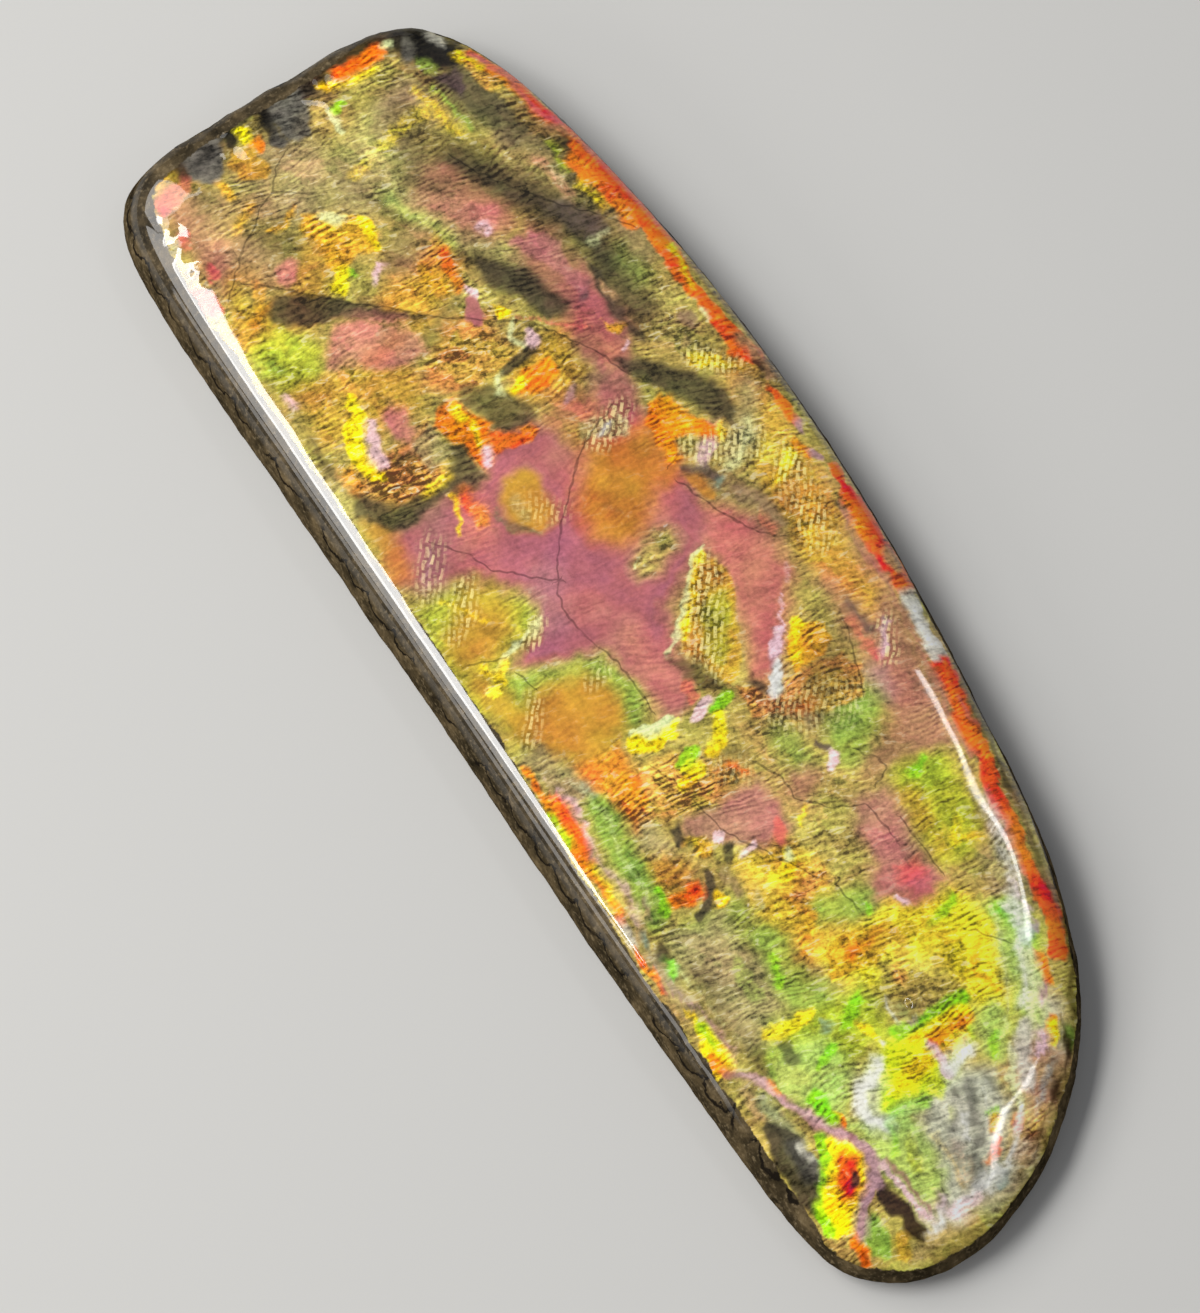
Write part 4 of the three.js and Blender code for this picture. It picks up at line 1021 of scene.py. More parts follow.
    ("red", 0.6, 0.15, 0.95, (-0.6, 13.8), (1, 13.9), (3, 13.8), (5.4, 13.8)),
    ("orange", 0.35, 0.2, 0.95, (-0.6, 13.6), (1.6, 13.4)),
    ("greyHaze", 0.3, 0.25, 0.8, (-0.6, 13.1), (0, 13)),
    ("beige", 0.28, 0.15, 0.9, (3.2, 14), (4.2, 14)),
    ("chalk", 0, 0.15, 1, (5.7, 13.4), (6, 14.1), (10.2, 14.1), (10.8, 13.4), (9.6, 13.1),
        (6.6, 13.1)),
    ("white", 0.25, 0.3, 0.8, (6.8, 13.6), (9.4, 13.7)),
    ("red", 0.56, 0.15, 1, (10.8, 13.4), (13, 13.4), (15, 13), (17, 12.6), (19, 12.3), (23, 11.8),
        (26, 11.4), (28.2, 10.8)),
    ("redOrange", 0.3, 0.15, 0.9, (11, 13.5), (15, 13.1), (19, 12.3)),
    ("salmon", 0.12, 0.12, 0.8, (12.8, 13.6), (14.6, 13.6)),
    # a painted pink reflection of a lamp along the bowed rim
    ("dustyRose", 0.25, 0.2, 0.9, (0, 13), (5, 13), (10.6, 12.8), (16, 12.1)),
    ("pinkWhite", 0.25, 0.2, 0.7, (23, 10.6), (25, 10.4)),
    ("darkBrown", 1.2, 1, 0.4, (7.4, 7.8), (9.2, 5)),
    ("oliveDark", 0.9, 1, 0.4, (-17.4, -2.6), (-16.8, -3.8)),
    ("olive", 0.9, 1, 0.5, (15.6, -2.2), (17, -1.6)),
    ("khaki", 0.5, 0.8, 0.5, (12, -9), (15.2, -8.8)),
    ("limeWhite", 0.8, 0.9, 0.4, (32.2, -1), (34.4, -1)),
    ("paleGreen", 0.5, 0.9, 0.5, (26.4, 2.8), (26.8, 1.2)),
    ("brownGold", 0.7, 0.9, 0.4, (-10.6, -4.8), (-9.6, -5.2)),
    ("ochre", 1.3, 1, 0.6, (22.8, 3), (24.6, 4.8)),
    ("grey", 0.35, 0.6, 0.6, (17.4, -8.9), (21, -8.7)),
    # painted reflection of a lamp along the bowed rim
    ("white", 0.4, 0.7, 0.75, (18.6, 11.5), (22, 10.9), (25, 9.8)),
    ("limeWhite", 0.2, 0.4, 0.7, (24, 9.2), (27.6, 7.8), (30.6, 6)),
    ("chalk", 0.4, 0.5, 0.6, (36.6, 3.6), (37.6, 2)),
    ("brightYellow", 0.2, 0.2, 0.9, (-35.6, 7.5), (-33.8, 8.1)),
    ("redOrange", 0.22, 0.2, 0.9, (-34, 8.7), (-31, 10), (-28, 10.9)),
    ("limeWhite", 0.2, 0.2, 0.85, (-2.6, -6.4), (-1.8, -7.6)),
    ("brightYellow", 0.35, 0.25, 0.85, (-1.2, -8.2), (-0.2, -9.6)),
    ("pinkWhite", 0.3, 0.2, 0.9, (4.2, 6.4), (5.4, 5.6)),
    ("white", 0.22, 0.2, 0.9, (6.2, 5.4), (7, 4.7)),
    ("brightYellow", 0.3, 0.25, 0.8, (4.2, 7.6), (5, 6.8)),
    ("limeWhite", 0.22, 0.2, 0.85, (5.8, -1.6), (6, -3)),
    ("darkBrown", 0.3, 0.4, 0.6, (9.8, 1.2), (9, -0.2)),
    ("grey", 0.5, 0.4, 0.7, (-37, -3), (-35.6, -4.2)),
    ("darkPurple", 0.35, 0.4, 0.7, (-9.6, -4.2), (-8, -3.6), (-7.2, -2.9)),
]

# Rows where the wrinkles break up into short dashes that carry a painted cream glint, in the same
# form without a tone
dashRows = [
    (0.7, 0.4, 1, (-12.4, 10.2), (-10.8, 11.8)),
    (0.9, 0.4, 1, (-7.4, 7.4), (-6.4, 10.4)),
    (0.9, 0.5, 1, (-4.6, 11.8), (0.6, 11.2)),
    (0, 0.4, 1, (-1.8, 5), (0.4, 4.8), (4.8, 2.6), (5.2, 1.9), (2.8, 0.7), (0.4, 2.4)),
    (0.8, 0.4, 0.8, (-9.4, -8.6), (-7.2, -10)),
    (0.8, 0.4, 0.9, (-6.2, -8), (-4.4, -9.6)),
    (0.6, 0.4, 0.9, (-3, -5.4), (-2, -6.4)),
    (0.5, 0.4, 0.8, (1.6, -3.4), (1.9, -4.6)),
    (0.6, 0.4, 0.8, (1.4, -8), (2.8, -9)),
    (0.6, 0.4, 0.9, (6.8, 11.8), (8.6, 11)),
    (0.8, 0.4, 0.9, (-11.4, 4.6), (-10.8, 3)),
    (1.4, 0.6, 0.6, (8.6, 4.4), (9.6, 7.6)),
    (0.8, 0.4, 0.5, (-8.8, -2.2), (-8, -1.4)),
    (0.8, 0.4, 0.5, (9.4, -1), (10.4, 0.4)),
]

# Hair cracks, each a line of points in mm
cracks = [
    [(-21, 11), (-22.4, 9.8), (-23.6, 8.6), (-25, 7.2), (-27, 5.6), (-28.6, 4.4), (-30, 3.8)],
    [(-12.4, 7), (-13.2, 6.3), (-15, 5.6), (-16.2, 4.8), (-17.2, 4), (-18.4, 3.2), (-19.2, 2.2),
        (-19.6, 1.2), (-20.8, -0.4), (-21.8, -2), (-23.4, -3.8), (-24.4, -5.2), (-25.6, -6.6),
        (-27, -8.2), (-28.2, -9.6), (-28.8, -10.6)],
    [(-34.8, -4.6), (-34, -5.6), (-33, -6.4), (-32.4, -7.4), (-31.6, -8.2), (-31, -9.2),
        (-30.2, -10), (-28.2, -11.8), (-27.4, -12.6)],
    [(-33, -6.4), (-32.4, -5.4), (-31.6, -4.2)],
    [(-12, 4.6), (-10.8, 2.2), (-9.8, 1), (-8.6, 0), (-7.8, -0.8), (-6.6, -1.8), (-5.4, -2.6),
        (-4.4, -3.2), (-3.6, -3.6), (-2, -3.7), (-1, -3.5), (0.2, -3), (1.4, -2.6), (3, -2.3),
        (5, -2.2)],
    [(-4.2, -3), (-5.2, -4.4), (-6, -5.2), (-6.6, -6.2), (-8, -6.8), (-9.8, -8.4)],
    [(-6.2, 5.6), (-5, 6.2), (-3.6, 6.8), (-2.4, 7.4), (-1.4, 8.2), (-0.6, 9), (0, 10)],
    [(5.7, 9.9), (7.6, 9.4), (9.9, 8.7)],
    [(10.2, 1.2), (11, 1.8), (11.8, 2.3), (13.2, 2.3), (14.8, 4), (15.4, 5.6), (17.4, 6),
        (18.2, 6.1)],
    [(12.4, 6.6), (13.6, 7.6), (14.2, 7.7), (14.8, 6.6)],
    [(17, 6.9), (19, 7.2), (21, 7.4)],
    [(7.8, -3.8), (9, -3.2), (10.2, -2.8), (11.4, -2.5), (12.8, -2.1), (13.8, -1.6), (15, -0.6),
        (16, 0), (18.8, 1.9), (20.4, 2.3)],
    [(23.8, 5.6), (24.2, 6.8), (24.7, 7.4), (26.2, 8.7)],
    [(-1.8, -8), (-2.2, -9.4), (-2.5, -10.3)],
    [(-0.6, -7.8), (0.6, -7.4)],
    [(-7.2, 5.6), (-7.6, 6.6)],
]

brush = {
    "seed": 7,                 # of the noise that the edges stray by
    "bends": (0.5, 2.6, 1.0),  # mm, how far edges stray and the size of a bend, and a noise layer
    "frays": (0.28, 0.6, 3.0),
    "crackFrays": (0.16, 0.5, 5.0),
    "farAway": 9.0,            # mm
    "markHeight": 5.3,         # mm, the marks are laid out at this height
    "slant": (0.234, -0.130),  # and come down over the rounded rim this much aslant
}


def stray(places, reach, size, layer):
    shifts = [noise.noise_vector(Vector((x / size, y / size, layer))) for x, y in places]
    return np.array(shifts)[:, :2] * reach


# How far each place is from a line, and on which side of it
def distanceToLine(x, y, line):
    nearest, side = np.full(len(x), brush["farAway"]), np.ones(len(x))
    tiny = 1e-9
    for (x1, y1), (x2, y2) in zip(line, line[1:] or line):
        runX, runY = x2 - x1, y2 - y1
        share = ((x - x1) * runX + (y - y1) * runY) / max(runX ** 2 + runY ** 2, tiny)
        share = np.clip(share, 0, 1)
        distance = np.hypot(x - x1 - share * runX, y - y1 - share * runY)
        closer = distance < nearest
        nearest[closer] = distance[closer]
        side[closer] = np.sign((x - x1) * runY - (y - y1) * runX)[closer]
    return nearest, side


def isInside(x, y, loop):
    inside = np.zeros(len(x), bool)
    for (x1, y1), (x2, y2) in zip(loop, loop[1:]):
        if y1 != y2:
            inside ^= ((y1 > y) != (y2 > y)) & (x < x1 + (y - y1) * (x2 - x1) / (y2 - y1))
    return inside


# Which places a mark reaches, and how much of each it covers
def coverOf(places, reach, soft, strength, *points):
    margin = reach + soft
    low, high = np.min(points, axis=0) - margin, np.max(points, axis=0) + margin
    near = np.nonzero(np.all((places > low) & (places < high), axis=1))[0]
    x, y = places[near].T
    if reach:
        distance = distanceToLine(x, y, points)[0]
    else:
        loop = (*points, points[0])
        distance = distanceToLine(x, y, loop)[0]
        distance[isInside(x, y, loop)] *= -1
    cover = np.clip(0.5 + (reach - distance) / (2 * soft), 0, 1)
    return near, cover * cover * (3 - 2 * cover) * strength


# Red, green and blue of a tone, and how lively it is
def mixTone(hue, glow, purity, life):
    stops = [stop for stop, _ in hueColours]
    channels = list(zip(*(colour[:3] for _, colour in hueColours)))
    pure = np.array([np.interp(hue, stops, channel) for channel in channels])
    mud = np.array(shellLook["mudColour"][:3])
    return np.array([*((mud + (pure - mud) * purity) * glow), life])


def paintMarks(state, covered, places, marks):
    for tone, *mark in marks:
        near, cover = coverOf(places, *mark)
        share = cover[:, None]
        colour = np.array(stoneTones[tone]) if tone in stoneTones else mixTone(*tones[tone])
        state[near] = state[near] * (1 - share) + colour * share
        covered[near] = np.maximum(covered[near], cover)


def paintStone(piece):
    mesh = piece.data
    count = len(mesh.vertices)
    coordinates = np.empty(count * 3)
    mesh.vertices.foreach_get("co", coordinates)
    coordinates = coordinates.reshape(-1, 3) / mm
    drop = brush["markHeight"] - coordinates[:, 2:]
    plan = coordinates[:, :2] + drop * np.array(brush["slant"])
    noise.seed_set(brush["seed"])
    places = plan + stray(plan, *brush["bends"]) + stray(plan, *brush["frays"])

    ground = np.tile(mixTone(*shellLook["base"]), (count, 1))
    paintMarks(ground, np.zeros(count), places, groundMarks)
    facets, cover = ground.copy(), np.zeros(count)
    paintMarks(facets, cover, places, facetMarks)
    dashed = np.zeros(count)
    for row in dashRows:
        near, share = coverOf(places, *row)
        dashed[near] = np.maximum(dashed[near], share)

    nearest, side = np.full(count, brush["farAway"]), np.ones(count)
    shaken = plan + stray(plan, *brush["crackFrays"])
    for crack in cracks:
        distance, newSide = distanceToLine(*shaken.T, crack)
        closer = distance < nearest
        nearest[closer], side[closer] = distance[closer], newSide[closer]

    layers = {
        "groundColour": ground[:, :3],
        "facetColour": facets[:, :3],
        "markings": np.stack([cover, ground[:, 3], facets[:, 3]], axis=1),
        "crackLines": np.stack([nearest * side, nearest, dashed], axis=1),
    }
    for name, values in layers.items():
        layer = mesh.attributes.new(name, "FLOAT_VECTOR", "POINT")
        layer.data.foreach_set("vector", values.ravel())


shellLook = {
    "base": (0.25, 0.87, 0.5, 0.5),      # hue, glow, purity and liveliness where no mark lies
    "mudColour": paint(172, 154, 122),   # what an impure hue fades to
    "hueDrift": (0.055, 4.5),            # how far the hue drifts, and the size of a patch in mm
    "glowDrift": (0.5, 2.4),
    "grainSize": 0.28,                   # mm
    "grainGlow": 2.7,
    "grainRest": 0.15,                   # grain that is left where a tone has no life
    "flakeSize": (2.3, 1.1),             # mm, patches where the layers lie at different depths
    "flakeBend": (1.6, 0.9),             # mm, how far their edges bend, and over what length
    "flakeTurn": math.radians(38),
    "flakeHue": 0.028,
    "flakeGlow": 0.65,
    "scaleSize": (0.32, 0.9),            # mm, the finer play inside a patch
    "scaleTurn": math.radians(12),
    "scaleEdge": (0.36, 0.64),
    "scaleHue": 0.035,
    "scaleGlow": 1.15,
    "wrinkleSpacing": 0.37,              # mm
    "wrinkleSway": (5.0, 9.0),           # mm, how far they wander, and over what length
    "wrinkleBreaks": (0.4, 0.62),        # they break off between these heights of a noise
    "wrinkleSqueeze": (2.4, 0.8, 1.0),   # whose patches are narrow along x
    "wrinklePatch": 3.4,                 # mm, size of the patches where they are weak or strong
    "wrinklePatchEdge": (0.36, 0.64),
    "wrinklePatchRange": (0.3, 1.4),
    "wrinkleHue": 0.03,
    "wrinkleGlow": 1.3,
    "dashTurn": math.radians(35),
    "dashLength": 0.78,                  # mm
    "dashRow": 0.35,
    "dashGap": 0.11,
    "dashWobble": (0.6, 1.2),            # mm, how far the rows wander, and over what length
    "dashGrain": (0.34, 0.54, 0.2, 1.0),  # the grain wears dashes away: from, to, least and most
    "dashHeight": 0.5,
    "dashGround": -0.16,                 # the shell between dashes lies this low
    # the dashes' cream colour is a painted glint
    "dashGlintColour": paint(252, 238, 168),
    "dashGlintShare": 0.7,
    "edgeBlur": 0.34,                    # share of a flash's edge that is still soft
    "edgeGrain": 0.5,                    # how much the grain frays that edge
    "edgeWrinkles": 0.14,
    "leastGain": 0.2,
    "brightest": (0.93, 0.93, 0.93),
    "glintEdge": (0.59, 0.68),           # height of a scale from which a painted glint shows
    "glintBrightness": (0.10, 0.32),     # glints show on tones brighter than this
    "glintColour": paint(246, 238, 200),
    "glintShare": 0.7,
    "crackWidth": 0.05,                  # mm
    "crackReach": (0.15, 0.35),          # mm, where a crack's end fades out
    "crackWear": (0.35, 0.5, 0.55, 1.0),  # cracks are fainter in places: from, to, least and most
    "crackShade": 0.5,
    "roughness": 0.42,
}

ironstone = {
    "mottle": [
        (0.30, paint(36, 31, 21)), (0.46, paint(62, 53, 37)),
        (0.60, paint(88, 75, 53)), (0.78, paint(124, 107, 78)),
    ],
    "mottleSize": 1.8,             # mm
    "fleckSize": 0.3,
    "paleFleck": paint(146, 128, 98),
    "paleRange": (0.5, 0.75, 0.0, 0.5),
    "darkFleck": paint(26, 22, 18),
    "darkRange": (0.3, 0.42, 0.4, 0.0),
    "sutureGap": 2.4,              # mm from one lobe of the suture line to the next
    "sutureTop": 3.95,             # mm
    "sutureDepth": 0.85,
    "sutureWidth": 0.12,
    "sutureSway": (3.0, 0.25),     # mm, how far it strays along the side and up or down
    "suturePatches": (0.40, 0.46),
    "sutureShare": 0.95,
    "roughness": 0.62,
}

# Where the shell layer ends, in mm
shellEdge = {
    "foot": 2.7,                   # no shell lies below this height
    "straightInset": 1.72,         # how far in it begins at the straight side
    "farInset": 1.1,               # the same side towards the tip
    "bowedInset": 0.5,
    "tipInset": 0.5,
    "towardsTip": (2.0, 20.0),     # along x, from the straight side's inset to the far one
    "towardsBow": (-2.0, 6.0),     # along y
    "aroundTip": (30.0, 37.0),     # along x
    "wander": 0.8,
    "fray": 0.3,
    "softness": 0.05,
}

polish = {
    "foot": (3.5, 4.2),            # mm, the polish fades in between these heights
    "brokenEnd": (-38.0, -36.6, 0.35, 1.0),  # and is weaker on the broken rim
    "roughness": 0.04,
    "ior": 1.6,
    "reliefDepth": 0.05 * mm,
    "reliefStrength": 0.4,
}


# Growth wrinkles of the shell: fine lines across the stone, wavy and broken
def wrinklePattern(tree, plan):
    look = shellLook
    reach, length = look["wrinkleSway"]
    sway = vector(tree, "SUBTRACT", clouds(tree, plan, length, 1.0)["Color"], (0.5, 0.5, 0.5))
    swayed = vector(tree, "ADD", plan, scaled(tree, sway, reach))
    waveLength = 2 * math.pi / 20  # of a wave texture of scale 1
    inputs = {
        "Vector": swayed, "Scale": waveLength / look["wrinkleSpacing"],
        "Distortion": 4.0, "Detail": 2.0, "Detail Scale": 1.6, "Detail Roughness": 0.6,
    }
    lines = addNode(tree, "ShaderNodeTexWave", inputs).outputs["Fac"]
    squeezed = vector(tree, "MULTIPLY", swayed, look["wrinkleSqueeze"])
    breaks = softStep(tree, clouds(tree, squeezed, 1.0)["Fac"], *look["wrinkleBreaks"])
    return mixFloat(tree, breaks, 0.5, lines)


# The short dashes that the wrinkles turn into: raised in the relief, and coloured with a painted
# cream glint
def dashPattern(tree, plan):
    look = shellLook
    reach, length = look["dashWobble"]
    wobble = scaled(tree, clouds(tree, plan, length, 1.0)["Color"], reach)
    inputs = {
        "Vector": vector(tree, "ADD", turned(tree, plan, look["dashTurn"]), wobble), "Scale": 1.0,
        "Color1": (0.3, 0.3, 0.3, 1), "Color2": (1, 1, 1, 1), "Mortar": (0, 0, 0, 1),
        "Mortar Size": look["dashGap"], "Mortar Smooth": 0.5,
        "Brick Width": look["dashLength"], "Row Height": look["dashRow"],
    }
    return addNode(tree, "ShaderNodeTexBrick", inputs).outputs["Color"]


# Patches with a hue and glow of their own, longer than wide and aslant
def flakePattern(tree, plan):
    length, width = shellLook["flakeSize"]
    reach, bendLength = shellLook["flakeBend"]
    bend = scaled(tree, clouds(tree, plan, bendLength, 3.0, 0.6)["Color"], reach)
    aslant = turned(tree, vector(tree, "ADD", plan, bend), -shellLook["flakeTurn"])
    stretched = vector(tree, "MULTIPLY", aslant, (1 / length, 1 / width, 1.0))
    inputs = {"Vector": stretched, "Scale": 1.0, "Smoothness": 0.35}
    cells = addNode(tree, "ShaderNodeTexVoronoi", inputs, feature="SMOOTH_F1")
    return axesOf(tree, cells.outputs["Color"])


# Fine scales, whose height and hue both vary
def scalePattern(tree, plan):
    width, length = shellLook["scaleSize"]
    aslant = turned(tree, plan, shellLook["scaleTurn"])
    stretched = vector(tree, "MULTIPLY", aslant, (1 / width, 1 / length, 1.0))
    scales = clouds(tree, stretched, 1.0, 3.0, 0.55, 0.8)
    return scales["Fac"], axesOf(tree, scales["Color"])["Y"]


# How much the cracks darken each place
def crackPattern(tree, lines, glowNoise):
    look = shellLook
    width = look["crackWidth"]
    offLine = calc(tree, "ABSOLUTE", lines["X"])
    return product(
        tree, softStep(tree, offLine, width * 0.5, width * 1.8, 1.0, 0.0),
        softStep(tree, lines["Y"], *look["crackReach"], 1.0, 0.0),
        softStep(tree, glowNoise, *look["crackWear"]), 1 - look["crackShade"],
    )


def shiftHue(tree, colour, shift, gain):
    inputs = {
        "Hue": calc(tree, "ADD", shift, 0.5), "Saturation": 1.0, "Value": gain,
        "Fac": 1.0, "Color": colour,
    }
    return addNode(tree, "ShaderNodeHueSaturation", inputs).outputs[0]


# The shell's colour, and the height of its wrinkles and dashes
def shellColour(tree, plan, noises):
    look = shellLook
    grain = noises["grain"]
    wrinkles = wrinklePattern(tree, plan)
    flakes = flakePattern(tree, plan)
    scales, scaleHues = scalePattern(tree, plan)

    # flashes end where their cover falls under a half; grain and wrinkles fray that edge
    marks = axesOf(tree, attribute(tree, "markings"))
    frayed = total(
        tree, marks["X"], centred(tree, grain, look["edgeGrain"]),
        centred(tree, wrinkles, look["edgeWrinkles"]),
    )
    flash = softStep(tree, frayed, 0.5 - look["edgeBlur"], 0.5 + look["edgeBlur"])
    tone = mixVector(tree, flash, attribute(tree, "groundColour"), attribute(tree, "facetColour"))
    life = mixFloat(tree, flash, marks["Y"], marks["Z"])

    lines = axesOf(tree, attribute(tree, "crackLines"))
    dashed = lines["Z"]
    patches = clouds(tree, plan, look["wrinklePatch"])["Fac"]
    relief = softStep(tree, patches, *look["wrinklePatchEdge"], *look["wrinklePatchRange"])
    ripple = product(tree, centred(tree, wrinkles, 1.0), life, relief)
    worn = softStep(tree, grain, *look["dashGrain"])
    dashes = product(tree, dashPattern(tree, plan), dashed, worn)
    ripple = mixFloat(tree, dashed, ripple, look["dashGround"])
    ripple = total(tree, ripple, product(tree, dashes, look["dashHeight"]))

    hueShift = total(
        tree, centred(tree, noises["hue"], look["hueDrift"][0] * 2),
        product(tree, centred(tree, flakes["X"], look["flakeHue"] * 2), life),
        product(tree, centred(tree, scaleHues, look["scaleHue"] * 2), life),
        product(tree, ripple, look["wrinkleHue"]),
    )
    scaleGlow = softStep(tree, scales, *look["scaleEdge"])
    lively = total(tree, life, look["grainRest"])
    gain = total(
        tree, centred(tree, noises["glow"], look["glowDrift"][0] * 2), 1.0,
        product(tree, centred(tree, flakes["Y"], look["flakeGlow"] * 2), life),
        product(tree, centred(tree, scaleGlow, look["scaleGlow"]), life),
        product(tree, ripple, look["wrinkleGlow"]),
        product(tree, centred(tree, grain, look["grainGlow"]), lively),
    )
    gain = calc(tree, "MAXIMUM", gain, look["leastGain"])
    shell = shiftHue(tree, tone, hueShift, gain)

    # painted pale glints on the crests of the scales, most of all where the shell is bright and
    # lively
    brightness = softStep(tree, axesOf(tree, tone)["Y"], *look["glintBrightness"])
    glint = product(tree, softStep(tree, scales, *look["glintEdge"]), life, brightness)
    glint = product(tree, glint, look["glintShare"])
    shell = mixColour(tree, glint, shell, look["glintColour"])
    # painted cream glints on the dashes
    shell = mixColour(tree, product(tree, dashes, look["dashGlintShare"]), shell, look["dashGlintColour"])

    unbroken = calc(tree, "SUBTRACT", 1.0, crackPattern(tree, lines, noises["glow"]))
    shell = vector(tree, "MINIMUM", scaled(tree, shell, unbroken), look["brightest"])
    return shell, ripple


# Mottled grey-brown with flecks, and the lobed suture line here and there along the side
def ironstoneColour(tree, noises):
    look = ironstone
    mottle, fleck = noises["mottle"], noises["fleck"]
    colour = ramp(tree, mottle, look["mottle"])
    colour = mixColour(tree, softStep(tree, fleck, *look["paleRange"]), colour, look["paleFleck"])
    colour = mixColour(tree, softStep(tree, fleck, *look["darkRange"]), colour, look["darkFleck"])

    side = axesOf(tree, attribute(tree, "sideMap"))
    swayAlong, swayUp = look["sutureSway"]
    along = total(tree, side["X"], centred(tree, mottle, swayAlong))
    wave = calc(tree, "SINE", product(tree, along, math.pi / look["sutureGap"]))
    lobe = product(tree, calc(tree, "ABSOLUTE", wave), look["sutureDepth"])
    lobe = calc(tree, "SUBTRACT", look["sutureTop"], lobe)
    lobe = total(tree, lobe, centred(tree, fleck, swayUp))
    offLine = calc(tree, "ABSOLUTE", calc(tree, "SUBTRACT", side["Y"], lobe))
    width = look["sutureWidth"]
    suture = product(
        tree, softStep(tree, offLine, width * 0.6, width * 1.6, 1.0, 0.0),
        softStep(tree, noises["hue"], *look["suturePatches"]), look["sutureShare"],
    )
    return mixColour(tree, suture, colour, look["darkFleck"])


# 1 where the shell covers the ironstone, and 0 where the ironstone is bare
def shellCover(tree, x, y, height, noises):
    edge = shellEdge
    towardsTip = softStep(tree, x, *edge["towardsTip"])
    limit = mixFloat(tree, towardsTip, edge["straightInset"], edge["farInset"])
    limit = mixFloat(tree, softStep(tree, y, *edge["towardsBow"]), limit, edge["bowedInset"])
    limit = mixFloat(tree, softStep(tree, x, *edge["aroundTip"]), limit, edge["tipInset"])
    limit = total(
        tree, limit, centred(tree, noises["glow"], edge["wander"]),
        centred(tree, noises["grain"], edge["fray"]),
    )
    inside = calc(tree, "SUBTRACT", attribute(tree, "rimInset", "Fac"), limit)
    above = calc(tree, "SUBTRACT", height, edge["foot"])
    softness = edge["softness"]
    return softStep(tree, calc(tree, "MINIMUM", inside, above), -softness, softness)


def makeStoneMaterial():
    material = bpy.data.materials.new("polishedAmmoliteShell")
    material.use_nodes = True
    tree = material.node_tree
    shader = tree.nodes["Principled BSDF"]

    inMm = scaled(tree, addNode(tree, "ShaderNodeTexCoord").outputs["Object"], 1 / mm)
    plan = vector(tree, "MULTIPLY", inMm, (1.0, 1.0, 0.0))
    axes = axesOf(tree, inMm)
    x, y, height = axes["X"], axes["Y"], axes["Z"]
    noises = {
        "grain": clouds(tree, plan, shellLook["grainSize"], 3.0, 0.6)["Fac"],
        "glow": clouds(tree, plan, shellLook["glowDrift"][1], 3.0, 0.6)["Fac"],
        "hue": clouds(tree, plan, shellLook["hueDrift"][1])["Fac"],
        "mottle": clouds(tree, inMm, ironstone["mottleSize"], 4.0, 0.65)["Fac"],
        "fleck": clouds(tree, inMm, ironstone["fleckSize"], 3.0, 0.6)["Fac"],
    }
    shell, ripple = shellColour(tree, plan, noises)
    matrix = ironstoneColour(tree, noises)
    onShell = shellCover(tree, x, y, height, noises)

    roughness = mixFloat(tree, onShell, ironstone["roughness"], shellLook["roughness"])
    feed(tree, shader.inputs["Base Color"], mixColour(tree, onShell, matrix, shell))
    feed(tree, shader.inputs["Roughness"], roughness)
    polished = softStep(tree, height, *polish["foot"])
    polished = product(tree, polished, softStep(tree, x, *polish["brokenEnd"]))
    feed(tree, shader.inputs["Coat Weight"], polished)
    shader.inputs["Coat Roughness"].default_value = polish["roughness"]
    shader.inputs["Coat IOR"].default_value = polish["ior"]
    shader.inputs["Specular IOR Level"].default_value = 0.0
    bump = addNode(tree, "ShaderNodeBump", {
        "Height": mixFloat(tree, onShell, noises["fleck"], ripple),
        "Distance": polish["reliefDepth"], "Strength": polish["reliefStrength"],
    })
    feed(tree, shader.inputs["Normal"], bump.outputs["Normal"])
    return material


paintStone(stone)
stone.data.materials.clear()
stone.data.materials.append(makeStoneMaterial())
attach(stone, "root")
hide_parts("ammolite_stone")
print("stone painted:", len(groundMarks) + len(facetMarks), "marks,", len(cracks), "cracks")


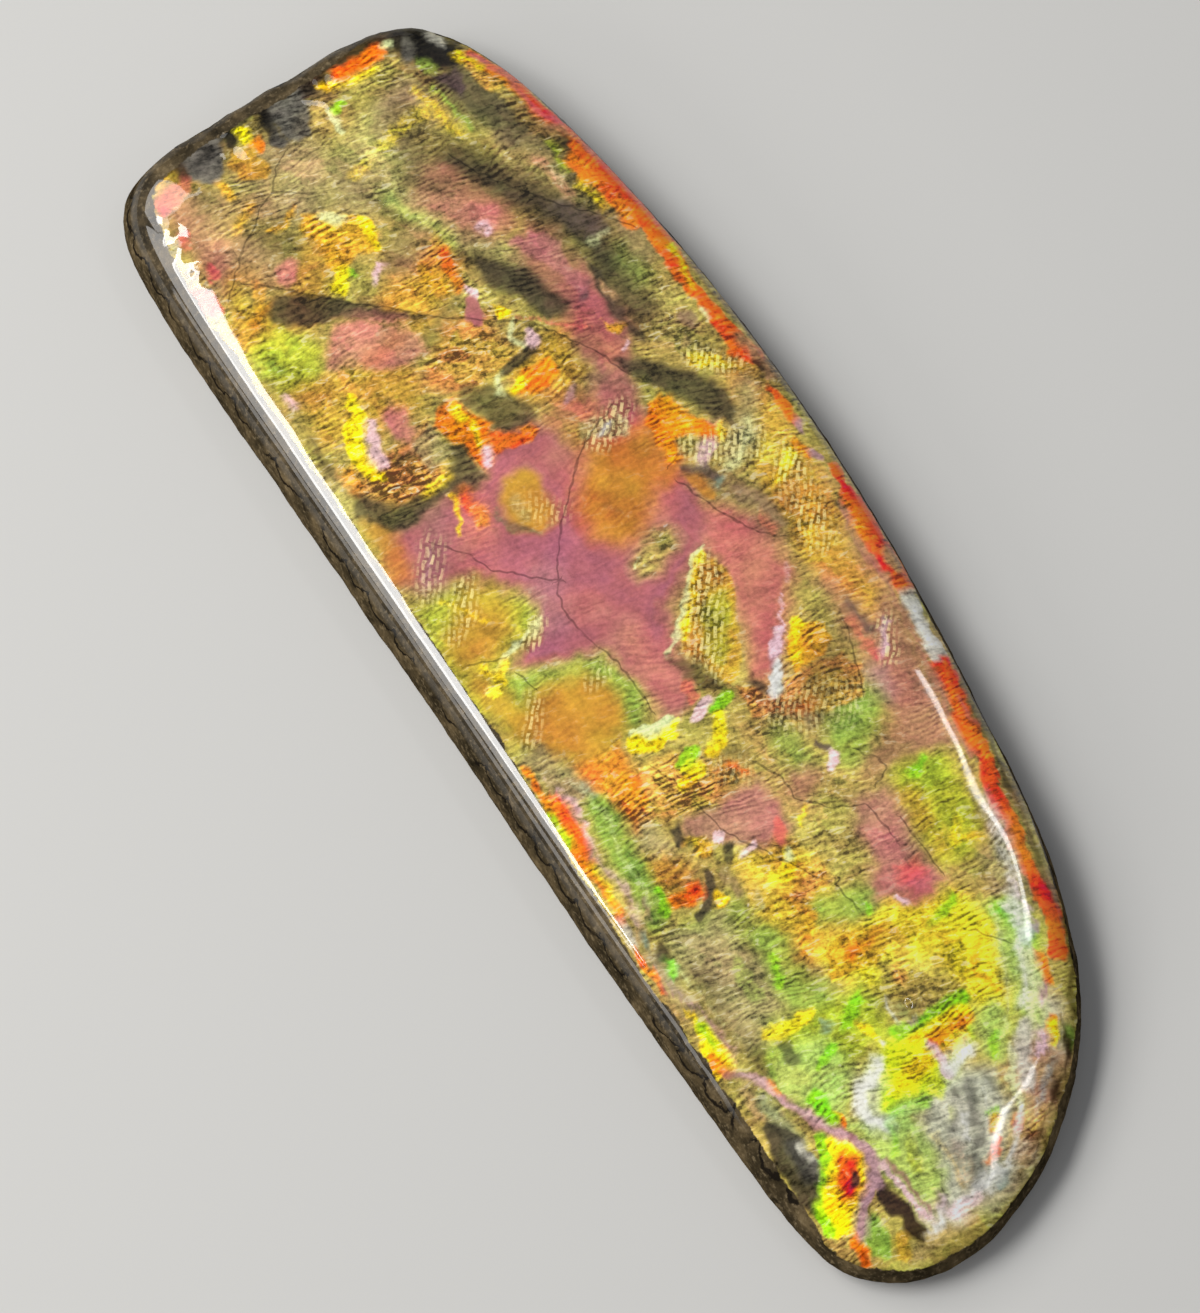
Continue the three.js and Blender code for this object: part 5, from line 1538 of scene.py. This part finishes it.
studio = {
    "floorSize": 2.4,  # m
    "floorColour": paint(206, 205, 202),
    "floorRoughness": 0.7,
    "worldColour": paint(150, 152, 156),
    "worldStrength": 0.58,
    "lights": {  # place in m, roll in degrees, width and depth in m, power in W, colour
        "edgeWindow": ((-0.163, -0.218, 0.43), -8, (0.27, 0.10), 1.15, (1.0, 1.0, 0.99)),
        "lowWindow": ((-0.17, -0.34, 0.36), 0, (0.25, 0.20), 0.70, (1.0, 0.99, 0.97)),
        "frontLight": ((0.04, -0.50, 0.22), 0, (0.50, 0.14), 0.6, (1.0, 0.98, 0.95)),
        "fillLight": ((-0.45, -0.20, 0.50), 0, (0.30, 0.30), 1.2, (1.0, 0.98, 0.95)),
        "longStrip": ((0.012, 0.238, 0.452), -4, (0.18, 0.008), 0.045, (1.0, 1.0, 1.0)),
        "shortStrip": ((0.25, 0.215, 0.40), 32, (0.16, 0.008), 0.05, (1.0, 1.0, 1.0)),
    },
}


def makeFloor():
    bpy.ops.mesh.primitive_plane_add(size=studio["floorSize"])
    floor = bpy.context.object
    floor.name = "studio_floor"
    material = bpy.data.materials.new("paleStudioFloor")
    material.use_nodes = True
    shader = material.node_tree.nodes["Principled BSDF"]
    shader.inputs["Base Color"].default_value = studio["floorColour"]
    shader.inputs["Roughness"].default_value = studio["floorRoughness"]
    floor.data.materials.append(material)


# Turned so that it looks from its place to the aim, or to the origin, and rolled about that line
def aimed(placed, aim=(0.0, 0.0, 0.0), roll=0):
    back = (Vector(placed) - Vector(aim)).to_track_quat("Z", "Y")
    return (back @ Quaternion((0, 0, 1), math.radians(roll))).to_euler()


def makeLights():
    world = bpy.data.worlds.new("softStudio")
    world.use_nodes = True
    background = world.node_tree.nodes["Background"]
    background.inputs["Color"].default_value = studio["worldColour"]
    background.inputs["Strength"].default_value = studio["worldStrength"]
    bpy.context.scene.world = world
    for name, (placed, roll, size, power, colour) in studio["lights"].items():
        bpy.ops.object.light_add(type="AREA", location=placed, rotation=aimed(placed, roll=roll))
        light = bpy.context.object
        light.name = name
        light.data.shape = "RECTANGLE"
        light.data.size, light.data.size_y = size
        light.data.energy = power
        light.data.color = colour


view = {
    "lookAt": (0.21, -2.96, 3.0),  # mm
    "azimuth": 61,                 # degrees
    "elevation": 75,
    "distance": 250,               # mm
    "lens": 120,
    "nearest": 0.01,               # m
}


def makeCamera():
    around, up = math.radians(view["azimuth"]), math.radians(view["elevation"])
    back = Vector((math.sin(around) * math.cos(up), -math.cos(around) * math.cos(up), math.sin(up)))
    target = Vector(view["lookAt"]) * mm
    placed = target + back * view["distance"] * mm
    bpy.ops.object.camera_add(location=placed, rotation=aimed(placed, target))
    camera = bpy.context.object
    camera.name = "stoneCamera"
    camera.data.lens = view["lens"]
    camera.data.clip_start = view["nearest"]
    bpy.context.scene.camera = camera


makeFloor()
makeLights()
makeCamera()
bpy.context.scene.view_settings.view_transform = "Standard"
print("studio ready")
